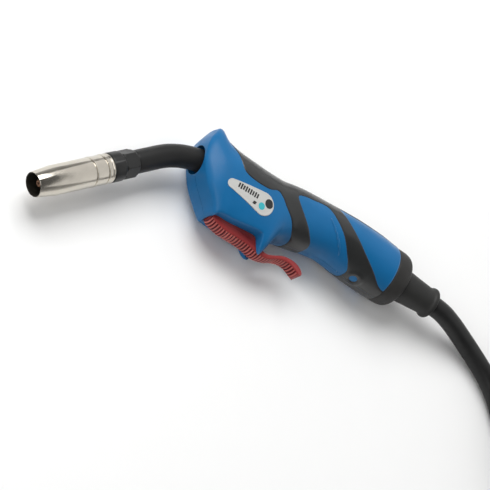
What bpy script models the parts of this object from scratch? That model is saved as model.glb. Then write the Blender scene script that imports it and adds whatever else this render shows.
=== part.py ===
"""MIG welding torch: swan neck, two-shell handle with soft grips, trigger, cable, coil and machine plug.

The torch lies on its right cheek. +X runs back along the handle, +Y is the torch's own up and +Z is
its left side. Sizes below are in millimetres; the objects are made in metres.
"""

import math

import bmesh
import bpy
import numpy as np
from mathutils import Matrix, Vector

MM = 0.001
GAP = 0.3                       # clearance between pieces that touch

# Where the handle's axis meets the front of the rear collar, seen from the middle of the torch's base
ORIGIN = Vector((102.68, 29.89, 18.6))

# Swan neck and nozzle, as distances back along the neck's centre line from the nozzle's mouth
NECK_BEND = math.radians(41.5)
NECK_BEND_RADIUS = 62.0
NECK_STRAIGHT = 92.0
NECK_ENTRY = Vector((-132.6, -1.2, 0.0))     # where the bend ends and the neck runs along the handle
NOZZLE_LENGTH = 54.0
NOZZLE_RADIUS = 9.0
NOZZLE_MOUTH_RADIUS = 7.5
NOZZLE_WALL = 1.2
NOZZLE_CONE = 13.0
NOZZLE_GROOVES = (40.2, 49.1)
NUT_END = 73.0
NUT_FLATS = 15.6                             # across flats
SLEEVE_RADIUS = 7.2
NECK_TUBE_RADIUS = 5.0

# Handle
COLLAR_RADIUS = 18.6
COLLAR_LENGTH = 12.6
SHELL_WALL = 2.6
GRIP_DEPTH = 1.3
LABEL_DEPTH = 0.7
SLOT_HALF = 5.9
SCREWS = ((-130.5, -19.5, 13.4), (-73.0, -12.5, 12.8), (-25.0, -10.8, 10.2))   # x, y, boss height
WINDOW = (-20.8, 3.6, 2.6)                   # hole under the left grip: x, z, radius

# Trigger and switch
PIVOT = Vector((-124.5, -30.6, 0.0))
TRIGGER_HALF = 5.4
TAIL_HALF = 4.8
TRIGGER_CROWN = 2.2
TAIL_CROWN = 1.2
PLUNGER_X = -104.0

# Cable, coil and plug
CABLE_RADIUS = 6.5
BALL_RADIUS = 13.4
BALL_X = 3.5
RELIEF_END = 42.0
FLOOR = -18.6                                # the surface, in the torch's own frame
COIL_CENTRE = Vector((224.0, -20.0, 0.0))
COIL_RADIUS = 75.0                           # middle of the turns
COIL_COLUMNS = 3
COIL_LEVELS = 2
TURN_PITCH = 13.1
LEAD_ANGLE = math.radians(-142.0)            # where the cable runs onto the coil
PLUG_PLACE = Vector((114.2, -13.8, 0.0))     # end of the plug's boot, from the coil's centre
PLUG_AXIS_HEIGHT = 21.8
TIE_ANGLES = (math.radians(100.0), math.radians(250.0))
TIE_WIDTH = 20.0
TIE_THICKNESS = 1.2
TIE_SLACK = 1.4                              # a flat strap stands this far off the coil's curved inner side
PIN_CIRCLE = 12.9                            # radius of the plug's two control pins about its axis


# ---------------------------------------------------------------- general shape helpers

def clear_scene():
    for item in list(bpy.data.objects):
        bpy.data.objects.remove(item, do_unlink=True)


def material(name, colour, roughness, metallic=0.0):
    found = bpy.data.materials.get(name)
    if found:
        return found
    made = bpy.data.materials.new(name)
    made.use_nodes = True
    shader = made.node_tree.nodes["Principled BSDF"]
    shader.inputs["Base Color"].default_value = (*colour, 1.0)
    shader.inputs["Roughness"].default_value = roughness
    shader.inputs["Metallic"].default_value = metallic
    return made


def materials():
    return {
        "blue": material("blue_plastic", (0.02, 0.17, 0.42), 0.35),
        "grip": material("soft_grip", (0.03, 0.03, 0.028), 0.6),
        "red": material("trigger_red", (0.30, 0.03, 0.03), 0.45),
        "black": material("black_plastic", (0.02, 0.02, 0.02), 0.45),
        "rubber": material("cable_rubber", (0.02, 0.02, 0.02), 0.6),
        "white": material("label_white", (0.75, 0.75, 0.72), 0.4),
        "nickel": material("nickel", (0.62, 0.58, 0.52), 0.22, 1.0),
        "brass": material("brass", (0.70, 0.50, 0.22), 0.3, 1.0),
        "copper": material("copper", (0.75, 0.36, 0.22), 0.3, 1.0),
        "steel": material("steel", (0.55, 0.55, 0.56), 0.3, 1.0),
        "strap": material("strap", (0.03, 0.03, 0.03), 0.8),
    }


def add_object(name, mesh, finish, origin=Vector((0, 0, 0)), cutter=False):
    """Wraps a mesh given in torch millimetres as an object whose origin sits at the given torch point."""
    place = ORIGIN + origin
    mesh.transform(Matrix.Translation(-origin))
    mesh.transform(Matrix.Scale(MM, 4))
    made = bpy.data.objects.new(name, mesh)
    made.location = place * MM
    bpy.context.scene.collection.objects.link(made)
    if cutter:
        made.hide_render = True
        made.display_type = "WIRE"
    elif finish:
        mesh.materials.append(finish)
        mesh.shade_smooth()
        mesh.set_sharp_from_angle(angle=math.radians(35))
    return made


def mesh_from(points, faces):
    mesh = bpy.data.meshes.new("piece")
    mesh.from_pydata([tuple(p) for p in points], [], faces)
    shape = bmesh.new()
    shape.from_mesh(mesh)
    bmesh.ops.remove_doubles(shape, verts=shape.verts, dist=1e-5)
    bmesh.ops.recalc_face_normals(shape, faces=shape.faces)
    shape.to_mesh(mesh)
    shape.free()
    return mesh


def frame_on(axis):
    """Two unit vectors square to the axis and to each other."""
    axis = Vector(axis).normalized()
    hint = Vector((0, 0, 1)) if abs(axis.z) < 0.9 else Vector((1, 0, 0))
    side = hint.cross(axis).normalized()
    return side, axis.cross(side)


def turned(profile, base, axis, steps=24, hex_flats=None):
    """A closed profile of (distance along the axis, radius) turned about the axis.

    Points listed in hex_flats, by index, are six-sided instead of round.
    """
    axis = Vector(axis).normalized()
    side, up = frame_on(axis)
    hexed = hex_flats or ()
    points = []
    for number, (along, radius) in enumerate(profile):
        for step in range(steps):
            angle = 2 * math.pi * step / steps
            reach = radius
            if number in hexed:
                reach = radius / math.cos(angle % (math.pi / 3) - math.pi / 6)
            outward = side * math.cos(angle) + up * math.sin(angle)
            points.append(Vector(base) + axis * along + outward * reach)
    faces = []
    count = len(profile)
    for number in range(count):
        after = (number + 1) % count
        if profile[number][1] < 1e-6 and profile[after][1] < 1e-6:
            continue
        for step in range(steps):
            beside = (step + 1) % steps
            faces.append((number * steps + step, number * steps + beside,
                          after * steps + beside, after * steps + step))
    return mesh_from(points, faces)


def swept_tube(centres, outer, inner, steps=16):
    """A pipe of round section along a list of centre points, open through its bore."""
    directions = tangents(centres)
    rings = []
    for radius in (outer, inner):
        for centre, along in zip(centres, directions):
            side, up = frame_on(along)
            rings.append([centre + (side * math.cos(t) + up * math.sin(t)) * radius
                          for t in np.linspace(0, 2 * math.pi, steps, endpoint=False)])
    count = len(centres)
    order = list(range(count)) + list(range(2 * count - 1, count - 1, -1))
    points = [point for index in order for point in rings[index]]
    faces = []
    for ring in range(len(order)):
        after = (ring + 1) % len(order)
        for step in range(steps):
            beside = (step + 1) % steps
            faces.append((ring * steps + step, ring * steps + beside,
                          after * steps + beside, after * steps + step))
    return mesh_from(points, faces)


def wire(centres, radius, steps=6):
    """A solid round wire along a list of centre points."""
    directions = tangents(centres)
    side, _ = frame_on(directions[0])
    points = []
    for centre, along in zip(centres, directions):
        side = (side - along * side.dot(along)).normalized()
        up = along.cross(side)
        for step in range(steps):
            angle = 2 * math.pi * step / steps
            points.append(centre + (side * math.cos(angle) + up * math.sin(angle)) * radius)
    faces = [tuple(range(steps)), tuple(range(len(points) - steps, len(points)))]
    for ring in range(len(centres) - 1):
        for step in range(steps):
            beside = (step + 1) % steps
            faces.append((ring * steps + step, ring * steps + beside,
                          (ring + 1) * steps + beside, (ring + 1) * steps + step))
    return mesh_from(points, faces)


def tangents(centres):
    ends = [centres[0]] + list(centres) + [centres[-1]]
    return [(ends[i + 2] - ends[i]).normalized() for i in range(len(centres))]


def prism(outline, low, high):
    """A flat outline of (x, y) points carried from one z to another."""
    count = len(outline)
    points = [Vector((x, y, z)) for z in (low, high) for x, y in outline]
    faces = [tuple(range(count)), tuple(range(count, 2 * count))]
    faces += [(i, (i + 1) % count, (i + 1) % count + count, i + count) for i in range(count)]
    return mesh_from(points, faces)


def stacked(layers):
    """Outlines with equal point counts, joined one to the next and closed at both ends."""
    count = len(layers[0])
    points = [point for layer in layers for point in layer]
    faces = [tuple(range(count)), tuple(range(len(points) - count, len(points)))]
    for layer in range(len(layers) - 1):
        for i in range(count):
            beside = (i + 1) % count
            faces.append((layer * count + i, layer * count + beside,
                          (layer + 1) * count + beside, (layer + 1) * count + i))
    return mesh_from(points, faces)


def block(low, high):
    (x0, y0, z0), (x1, y1, z1) = low, high
    return prism([(x0, y0), (x1, y0), (x1, y1), (x0, y1)], z0, z1)


def boolean(target, operation, mesh, name):
    tool = add_object(f"{target.name}_{name}", mesh, None, cutter=True)
    change = target.modifiers.new(name, "BOOLEAN")
    change.operation = operation
    change.solver = "EXACT"
    change.object = tool


def cut(target, mesh, name):
    boolean(target, "DIFFERENCE", mesh, name)


def join(target, mesh, name):
    boolean(target, "UNION", mesh, name)


def keep(target, mesh, name):
    boolean(target, "INTERSECT", mesh, name)


def smooth_value(places, values, place):
    """Reads a smooth curve, with no overshoot, through the given values."""
    if place <= places[0]:
        return values[0]
    if place >= places[-1]:
        return values[-1]
    slopes = []
    rises = [(values[i + 1] - values[i]) / (places[i + 1] - places[i]) for i in range(len(places) - 1)]
    for i in range(len(places)):
        before = rises[max(i - 1, 0)]
        after = rises[min(i, len(rises) - 1)]
        slopes.append(0.0 if before * after <= 0 else 2 * before * after / (before + after))
    i = max(k for k in range(len(places) - 1) if places[k] <= place)
    span = places[i + 1] - places[i]
    t = (place - places[i]) / span
    return ((2 * t**3 - 3 * t**2 + 1) * values[i] + (t**3 - 2 * t**2 + t) * span * slopes[i]
            + (3 * t**2 - 2 * t**3) * values[i + 1] + (t**3 - t**2) * span * slopes[i + 1])


def smooth_path(points, per_span, closed=False):
    """Points on a Catmull-Rom curve through the given ones."""
    points = [Vector(p) for p in points]
    count = len(points)
    spans = count if closed else count - 1

    def at(index):
        return points[index % count] if closed else points[min(max(index, 0), count - 1)]

    out = []
    for span in range(spans):
        a, b, c, d = (at(span + k) for k in (-1, 0, 1, 2))
        for step in range(per_span):
            t = step / per_span
            out.append(0.5 * (2 * b + (c - a) * t + (2 * a - 5 * b + 4 * c - d) * t * t
                              + (3 * b - a - 3 * c + d) * t**3))
    if not closed:
        out.append(points[-1])
    return out


def smooth_outline(points, per_span=3):
    return [(p.x, p.y) for p in smooth_path([(x, y, 0) for x, y in points], per_span, closed=True)]


# ---------------------------------------------------------------- the neck's centre line

def neck_point(back):
    """The neck's centre line, at a distance back from the nozzle's mouth."""
    bend_length = NECK_BEND_RADIUS * NECK_BEND
    if back >= NECK_STRAIGHT + bend_length:
        return NECK_ENTRY + Vector((back - NECK_STRAIGHT - bend_length, 0, 0))
    turn = min((NECK_STRAIGHT + bend_length - back) / NECK_BEND_RADIUS, NECK_BEND)
    point = NECK_ENTRY + NECK_BEND_RADIUS * Vector((-math.sin(turn), math.cos(turn) - 1, 0))
    return point + nozzle_axis() * max(NECK_STRAIGHT - back, 0.0)


def nozzle_axis():
    """Direction from the handle out to the nozzle's mouth."""
    return Vector((-math.cos(NECK_BEND), -math.sin(NECK_BEND), 0))


def neck_line(start, end, steps):
    return [neck_point(start + (end - start) * i / steps) for i in range(steps + 1)]


# ---------------------------------------------------------------- the handle's outer shape

# The handle's front in side view: height, and how far forward the front face reaches there
FRONT_HEIGHTS = (-34.0, -31.0, -26.5, -19.0, -13.5, -8.0, -3.0, 4.0, 10.5, 15.0, 20.0, 24.4)
FRONT_REACH = (-126.0, -131.0, -136.2, -141.8, -145.0, -147.3, -148.6, -149.0, -148.0, -145.6,
               -142.5, -139.0)
FRONT_X = -149.0

# Sections from front to rear: place, share of the front's curve, top, bottom, half width,
# height of the widest level, and how square the section is
SECTIONS = (
    (-149.0, 1.00, 23.6, -40.0, 11.6, -6.0, 2.7),
    (-143.5, 0.80, 21.0, -40.0, 14.4, -6.0, 2.5),
    (-136.0, 0.55, 16.8, -40.0, 16.6, -6.0, 2.35),
    (-127.0, 0.25, 14.4, -40.0, 17.9, -6.0, 2.3),
    (-117.0, 0.06, 13.6, -40.5, 18.3, -6.0, 2.3),
    (-105.0, 0.00, 13.2, -42.0, 18.0, -6.0, 2.3),
    (-93.0, 0.00, 13.6, -43.6, 17.5, -5.5, 2.3),
    (-84.0, 0.00, 15.2, -27.0, 17.1, -3.5, 2.4),
    (-76.0, 0.00, 16.8, -22.0, 16.9, -2.2, 2.35),
    (-66.0, 0.00, 18.1, -19.9, 16.9, -0.6, 2.2),
    (-55.0, 0.00, 19.1, -17.4, 17.0, 0.8, 2.1),
    (-45.0, 0.00, 19.9, -16.0, 17.3, 1.9, 2.05),
    (-31.0, 0.00, 20.7, -17.1, 18.0, 1.8, 2.0),
    (-15.0, 0.00, 20.3, -18.3, 18.5, 1.0, 2.0),
    (0.0, 0.00, 18.6, -18.6, 18.6, 0.0, 2.0),
)


def front_reach(height):
    return smooth_value(FRONT_HEIGHTS, FRONT_REACH, height)


def section_at(place):
    """(front share, top, bottom, half width, widest level, squareness) of the section at a place."""
    places = [row[0] for row in SECTIONS]
    return tuple(smooth_value(places, [row[k] for row in SECTIONS], place) for k in range(1, 7))


def section_ring(place, inset, around):
    share, top, bottom, half, level, power = section_at(place)
    ring = []
    for step in range(around):
        angle = 2 * math.pi * (step + 0.5) / around
        up = math.sin(angle)
        out = math.cos(angle)
        height = (top - level if up > 0 else level - bottom) - inset
        y = level + math.copysign(height * abs(up) ** (2 / power), up)
        z = math.copysign((half - inset) * abs(out) ** (2 / power), out)
        ring.append(Vector((place + share * (front_reach(y) - FRONT_X), y, z)))
    return ring


def handle_body(inset=0.0, around=20, rear=0.0):
    """The handle's outer form as one solid, drawn in by the inset all round."""
    places = [row[0] for row in SECTIONS[:-1]] + [rear]
    rings = [section_ring(place, inset, around) for place in places]
    if inset:
        rings[0] = [point + Vector((inset, 0, 0)) for point in rings[0]]
    points = [point for ring in rings for point in ring]
    faces = []
    for number in range(len(rings) - 1):
        for step in range(around):
            beside = (step + 1) % around
            faces.append((number * around + step, number * around + beside,
                          (number + 1) * around + beside, (number + 1) * around + step))
    faces += end_cap(around, 0)
    faces += end_cap(around, (len(rings) - 1) * around)
    return mesh_from(points, faces)


def end_cap(around, first):
    """Closes a ring with strips that run straight across from the left side to the right."""
    quarter = around // 4
    left = [first + (quarter + i) % around for i in range(around // 2)]
    right = [first + (quarter - 1 - i) % around for i in range(around // 2)]
    return [(left[i], left[i + 1], right[i + 1], right[i]) for i in range(around // 2 - 1)]


# Side view of the handle's lower front: chin, lower edge over the trigger, lug and finger cut-out
LOWER_OUTLINE = (
    (-136.2, -26.5), (-131.4, -30.8), (-127.0, -32.8), (-117.0, -32.6), (-105.0, -31.2),
    (-98.4, -30.9), (-96.4, -32.4), (-94.4, -37.6), (-92.2, -41.2), (-90.0, -41.0), (-88.8, -37.0),
    (-87.8, -31.0), (-85.2, -26.4), (-80.0, -24.2), (-72.0, -24.5),
)


def side_outline():
    """The whole side view, wide of the handle's form where that already has the right shape."""
    lower = [(p.x, p.y) for p in smooth_path([(x, y, 0) for x, y in LOWER_OUTLINE], 2)]
    return [(-170, 40), (-170, -26.5)] + lower + [(-60, -30), (20, -30), (20, 40)]


def cavity_outline():
    floor = -30.4
    return [(-144.5, 12), (-145.2, -5), (-141.0, -13), (-134.0, -22.5), (-128.5, floor),
            (-98.5, floor + 1.6), (-90.5, floor + 1.6), (-87.0, -22.5), (-70, -30), (20, -30), (20, 40),
            (-120, 40), (-138, 20)]


# Side view of the soft grip's front edge, from the top of the handle down to its underside
GRIP_EDGE = (
    (-137.4, 24.0), (-134.4, 14.0), (-129.6, 7.0), (-126.6, 1.5), (-122.8, -3.2), (-115.0, -5.0),
    (-104.0, -4.4), (-97.6, -1.8), (-93.0, -4.0), (-88.6, -8.2), (-83.0, -12.6), (-77.6, -18.0),
    (-71.4, -23.0), (-67.0, -32.0),
)
# Side views of the two blue patches that the grip leaves open
PATCH_TWO = (
    (-82.0, 3.2), (-77.4, 6.6), (-70.0, 8.0), (-62.0, 9.6), (-57.0, 8.6), (-50.0, 3.0), (-43.6, -2.8),
    (-37.0, -9.6), (-31.6, -14.0), (-27.6, -17.6), (-32.0, -22.0), (-44.0, -26.0), (-58.0, -26.0),
    (-63.0, -22.0), (-59.4, -17.6), (-65.6, -13.0), (-74.6, -5.6),
)
PATCH_THREE = (
    (-47.4, 17.6), (-43.0, 18.4), (-20.0, 18.7), (-2.0, 17.9), (4.0, 10.0), (5.0, -8.0), (2.0, -15.6),
    (-4.4, -16.0), (-11.6, -12.4), (-22.6, -5.8), (-32.4, 1.8), (-41.0, 9.6),
)
# The teardrop label on the left cheek: a broad end and a narrow end
LABEL_BROAD = (-104.6, -15.4, 7.4)
LABEL_NARROW = (-129.0, -14.6, 3.0)


def grow_outline(points, amount):
    """Moves each side of an outline out by an amount."""
    area = sum(a[0] * b[1] - b[0] * a[1] for a, b in zip(points, points[1:] + points[:1]))
    turn = 1 if area > 0 else -1
    grown = []
    for i, here in enumerate(points):
        before = Vector(points[i - 1]) - Vector(here)
        after = Vector(points[(i + 1) % len(points)]) - Vector(here)
        along = (after.normalized() - before.normalized()).normalized()
        grown.append((here[0] + turn * along.y * amount, here[1] - turn * along.x * amount))
    return grown


def grip_outline():
    edge = [(p.x, p.y) for p in smooth_path([(x, y, 0) for x, y in GRIP_EDGE], 2)]
    return edge + [(20, -32), (20, 40), (-133.4, 40)]


def label_outline(grow=0.0, steps=9):
    """Two arcs joined by their common tangents."""
    (bx, by, broad), (nx, ny, narrow) = LABEL_BROAD, LABEL_NARROW
    heading = math.atan2(ny - by, nx - bx)
    lean = math.acos((broad - narrow) / math.hypot(nx - bx, ny - by))
    points = []
    for i in range(steps + 1):
        angle = heading + lean + (2 * math.pi - 2 * lean) * i / steps
        points.append((bx + (broad + grow) * math.cos(angle), by + (broad + grow) * math.sin(angle)))
    for i in range(steps // 2 + 1):
        angle = heading - lean + 2 * lean * i / (steps // 2)
        points.append((nx + (narrow + grow) * math.cos(angle), ny + (narrow + grow) * math.sin(angle)))
    return points


# ---------------------------------------------------------------- handle pieces

def half_space(side):
    """Everything on one side of the parting plane."""
    inner = GAP / 2
    outer = 40.0
    low, high = (inner, outer) if side > 0 else (-outer, -inner)
    return block((-180, -60, low), (30, 60, high))


def make_shell(name, side, finish):
    shell = add_object(name, handle_body(), finish)
    keep(shell, prism(side_outline(), -45, 45), "side_view")
    cavity = add_object(f"{name}_cavity", handle_body(SHELL_WALL, rear=10.0), None, cutter=True)
    keep(cavity, prism(cavity_outline(), -45, 45), "inside_view")
    hollow = shell.modifiers.new("hollow", "BOOLEAN")
    hollow.operation = "DIFFERENCE"
    hollow.object = cavity
    cut(shell, block((-130.6, -60, -SLOT_HALF), (-84.0, -24.0, SLOT_HALF)), "trigger_slot")
    entry = neck_point(NECK_STRAIGHT + NECK_BEND_RADIUS * NECK_BEND - 16.0)
    cut(shell, turned([(-14, 0), (-14, 9.4), (14, 9.4), (14, 0)], entry, (1, 0.26, 0)), "neck_hole")
    add_bosses(shell, side)
    keep(shell, half_space(side), "half")
    cut_holes(shell, side)
    cut_grip_seat(shell, name)
    if side > 0:
        cut_label_seat(shell)
    cut(shell, block((-0.4, -40, -40), (30, 40, 40)), "rear_face")
    return shell


def add_bosses(shell, side):
    """Screw bosses and the trigger spring's seat."""
    inner = side * -2.0
    for number, (x, y, height) in enumerate(SCREWS):
        reach = side * height
        join(shell, turned([(inner, 0), (inner, 3.6), (reach, 3.6), (reach, 0)], (x, y, 0), (0, 0, 1), 12),
             f"boss_{number + 1}")
    seat = sorted((side * 15.0, inner))
    join(shell, block((-98.0, -20.6, seat[0]), (-88.6, -18.2, seat[1])), "spring_seat")


def cut_holes(shell, side):
    """Screw holes, with their counterbores on the right, and the trigger pin's bearing."""
    bore = 1.3 + GAP
    head = 2.6 + GAP
    for number, (x, y, _) in enumerate(SCREWS):
        hole = [(-0.5, 0), (-0.5, bore), (8.7, bore), (8.7, 0)]
        if side < 0:
            hole = [(-30.0, 0), (-30.0, head), (-9.9, head), (-9.9, bore), (0.5, bore), (0.5, 0)]
        cut(shell, turned(hole, (x, y, 0), (0, 0, 1), 12), f"screw_hole_{number + 1}")
    reach = 9.0
    cut(shell, turned([(-reach, 0), (-reach, 1.3 + GAP / 2), (reach, 1.3 + GAP / 2), (reach, 0)],
                      PIVOT, (0, 0, 1), 12), "pin_hole")


def cut_grip_seat(shell, name):
    """A step all over the grip's area, for the soft skin to lie in."""
    seat = add_object(f"{name}_seat", prism(grow_outline(grip_outline(), GAP), -45, 45), None, cutter=True)
    cut(seat, prism(grow_outline(smooth_outline(PATCH_TWO), -GAP), -50, 50), "patch_two")
    cut(seat, prism(grow_outline(smooth_outline(PATCH_THREE), -GAP), -50, 50), "patch_three")
    cut(seat, handle_body(GRIP_DEPTH + GAP, rear=20.0), "core")
    step = shell.modifiers.new("grip_seat", "BOOLEAN")
    step.operation = "DIFFERENCE"
    step.object = seat


def cut_label_seat(shell):
    seat = add_object("label_seat", prism(label_outline(GAP), 2, 45), None, cutter=True)
    cut(seat, handle_body(LABEL_DEPTH + GAP), "core")
    step = shell.modifiers.new("label_seat", "BOOLEAN")
    step.operation = "DIFFERENCE"
    step.object = seat


def make_grip(name, side, finish):
    """The soft skin over the top of the handle and in two slanting bands."""
    grip = add_object(name, handle_body(), finish)
    keep(grip, half_space(side), "half")
    keep(grip, prism(grip_outline(), -45, 45), "area")
    cut(grip, handle_body(GRIP_DEPTH, rear=10.0), "core")
    cut(grip, prism(smooth_outline(PATCH_TWO), -50, 50), "patch_two")
    cut(grip, prism(smooth_outline(PATCH_THREE), -50, 50), "patch_three")
    cut(grip, block((-0.4, -40, -40), (30, 40, 40)), "rear_face")
    if side > 0:
        x, z, radius = WINDOW
        cut(grip, turned([(-30, 0), (-30, radius), (-8, radius), (-8, 0)], (x, 0, z), (0, 1, 0), 16), "window")
    else:
        for number, (x, y, _) in enumerate(SCREWS[1:]):
            cut(grip, turned([(-40, 0), (-40, 3.3), (-4, 3.3), (-4, 0)], (x, y, 0), (0, 0, 1), 16),
                f"screw_hole_{number + 2}")


def make_label(finish):
    label = add_object("label_plate", handle_body(), finish)
    keep(label, prism(label_outline(), 2, 45), "outline")
    cut(label, handle_body(LABEL_DEPTH), "core")
    return label


def make_screws(finish):
    profile = [(-12.4, 0), (-12.4, 2.3), (-12.0, 2.6), (-10.2, 2.6), (-10.2, 1.3), (7.2, 1.3), (8.4, 0.4),
               (8.4, 0)]
    for number, (x, y, _) in enumerate(SCREWS):
        head = Vector((x, y, 0))
        add_object(f"shell_screw_{number + 1}", turned(profile, head, (0, 0, 1), 12), finish, head)


def make_collar(finish):
    lip = 12.6
    profile = [(GAP, 14.0), (GAP, COLLAR_RADIUS - 0.5), (GAP + 0.6, COLLAR_RADIUS), (7.0, COLLAR_RADIUS - 0.1),
               (10.2, COLLAR_RADIUS - 0.7), (12.0, COLLAR_RADIUS - 1.9), (COLLAR_LENGTH, COLLAR_RADIUS - 3.4),
               (COLLAR_LENGTH, lip), (9.0, lip), (8.0, 14.0)]
    add_object("rear_collar", turned(profile, (0, 0, 0), (1, 0, 0), 24), finish)


# ---------------------------------------------------------------- neck pieces

def make_nozzle(finish):
    """The gas nozzle slides off along the neck, so its origin sits at its rear end."""
    radius = NOZZLE_RADIUS
    profile = [(0.0, NOZZLE_MOUTH_RADIUS - 1.1), (0.0, NOZZLE_MOUTH_RADIUS - 0.3), (0.5, NOZZLE_MOUTH_RADIUS),
               (NOZZLE_CONE, radius)]
    for groove in NOZZLE_GROOVES:
        profile += [(groove - 0.6, radius), (groove - 0.2, radius - 0.5), (groove + 0.2, radius - 0.5),
                    (groove + 0.6, radius)]
    profile += [(NOZZLE_LENGTH - 0.5, radius), (NOZZLE_LENGTH, radius - 0.4),
                (NOZZLE_LENGTH, radius - NOZZLE_WALL), (NOZZLE_CONE + 1, radius - NOZZLE_WALL)]
    base = neck_point(0)
    add_object("gas_nozzle", turned(profile, base, -nozzle_axis(), 20), finish, neck_point(NOZZLE_LENGTH))


def make_tip(copper, brass, steel):
    back = -nozzle_axis()
    tip = [(3.5, 0.7), (3.5, 2.2), (6.5, 4.0), (26.0, 4.0), (26.6, 3.0), (32.0, 3.0), (32.0, 0.7)]
    add_object("contact_tip", turned(tip, neck_point(0), back, 12), copper, neck_point(3.5))
    holder = [(27.0, 3.0 + GAP), (27.0, 4.8), (28.0, 5.4), (45.0, 5.4), (45.0, 4.4), (52.0, 4.4), (52.0, 1.8),
              (33.0, 1.8), (33.0, 3.0 + GAP)]
    add_object("tip_holder", turned(holder, neck_point(0), back, 12), brass, neck_point(27))
    spring = [neck_point(32.0 + 8.0 * t) + spoke(back, 2 * math.pi * 3 * t) * 6.6
              for t in np.linspace(0, 1, 31)]
    add_object("nozzle_spring", wire(spring, 0.6, 5), steel, neck_point(32))


def spoke(axis, angle):
    side, up = frame_on(axis)
    return side * math.cos(angle) + up * math.sin(angle)


def make_neck(black, rubber, copper, brass):
    back = -nozzle_axis()
    bore = NECK_TUBE_RADIUS + GAP
    nut = [(46.0, bore), (46.0, 7.3), (NOZZLE_LENGTH + GAP, 7.3), (NOZZLE_LENGTH + GAP, 8.7),
           (NOZZLE_LENGTH + 0.9, 9.1), (62.4, 9.1), (63.4, NUT_FLATS / 2), (NUT_END - 0.8, NUT_FLATS / 2),
           (NUT_END, NUT_FLATS / 2 - 0.7), (NUT_END, bore)]
    add_object("neck_nut", turned(nut, neck_point(0), back, 24, hex_flats=(6, 7, 8)), black,
               neck_point(NOZZLE_LENGTH))
    end = NECK_STRAIGHT + NECK_BEND_RADIUS * NECK_BEND
    tube = neck_line(52.0 + GAP, NECK_STRAIGHT, 1) + neck_line(NECK_STRAIGHT, end, 6)[1:]
    tube.append(neck_point(end + 20.0))
    add_object("neck_tube", swept_tube(tube, NECK_TUBE_RADIUS, 1.8, 10), copper)
    sleeve = neck_line(NUT_END + GAP, NECK_STRAIGHT, 1) + neck_line(NECK_STRAIGHT, end, 7)[1:]
    sleeve.append(neck_point(end + 4.0))
    add_object("neck_sleeve", swept_tube(sleeve, SLEEVE_RADIUS, bore + GAP, 16), rubber)
    start = NECK_ENTRY.x + 4.0 + GAP
    socket = [(0, bore), (0, 8.0), (1, 9.0), (8, 9.0), (9, 8.0), (24, 8.0), (24, 2.2), (20, 2.2), (20, bore)]
    add_object("neck_socket", turned(socket, (start, NECK_ENTRY.y, 0), (1, 0, 0), 14), brass)
    crimp_x = start + 24.0 + GAP
    crimp = [(0, 2.2), (0, 7.0), (9, 7.0), (10, 5.0), (22, 5.0), (22, 2.2)]
    add_object("cable_crimp", turned(crimp, (crimp_x, NECK_ENTRY.y, 0), (1, 0, 0), 14), brass)
    return crimp_x + 22.0 + GAP


# ---------------------------------------------------------------- trigger and switch

TRIGGER_UNDER = (
    (-128.6, -34.4), (-126.8, -37.4), (-118.0, -39.6), (-107.0, -39.6), (-99.5, -40.0), (-95.5, -40.8),
    (-91.5, -41.4), (-87.0, -40.8), (-82.0, -39.2), (-77.0, -36.4), (-72.0, -34.8), (-67.0, -34.8),
    (-63.0, -36.4), (-60.4, -37.6),
)
TRIGGER_OVER = (
    (-58.2, -37.0), (-57.8, -34.8), (-60.2, -32.2), (-64.4, -30.6), (-69.0, -30.4), (-74.0, -31.4),
    (-79.0, -33.8), (-84.0, -36.0), (-87.6, -36.4),
)


def lever_half(x):
    """The lever is a little narrower behind the lugs."""
    return TRIGGER_HALF + (TAIL_HALF - TRIGGER_HALF) * min(max((x + 90.0) / 6.0, 0.0), 1.0)


def make_trigger(finish):
    """A lever with a crowned underside: its front reaches up between the cheeks, its tail curls away."""
    under = smooth_path([(x, y, 0) for x, y in TRIGGER_UNDER], 2)
    over = smooth_path([(x, y, 0) for x, y in TRIGGER_OVER], 2)
    top = -28.9
    web = [(-90.4, -35.4), (-91.4, top), (-121.6, top), (-123.2, -28.0), (-126.0, -28.0), (-127.8, -29.4)]
    layers = []
    for share in (-1.0, -0.72, 0.0, 0.72, 1.0):
        layer = []
        for point in under:
            tail = min(max((point.x + 91.0) / 6.0, 0.0), 1.0)
            rise = (TRIGGER_CROWN + (TAIL_CROWN - TRIGGER_CROWN) * tail) * abs(share) ** 2.4
            layer.append(Vector((point.x, point.y + rise, lever_half(point.x) * share)))
        layer += [Vector((p.x, p.y, lever_half(p.x) * share)) for p in over]
        layer += [Vector((x, y, lever_half(x) * share)) for x, y in web]
        layers.append(layer)
    lever = add_object("trigger", stacked(layers), finish, PIVOT)
    bore = 1.3 + GAP / 2
    cut(lever, turned([(-20, 0), (-20, bore), (20, bore), (20, 0)], PIVOT, (0, 0, 1), 12), "pin_hole")


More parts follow.
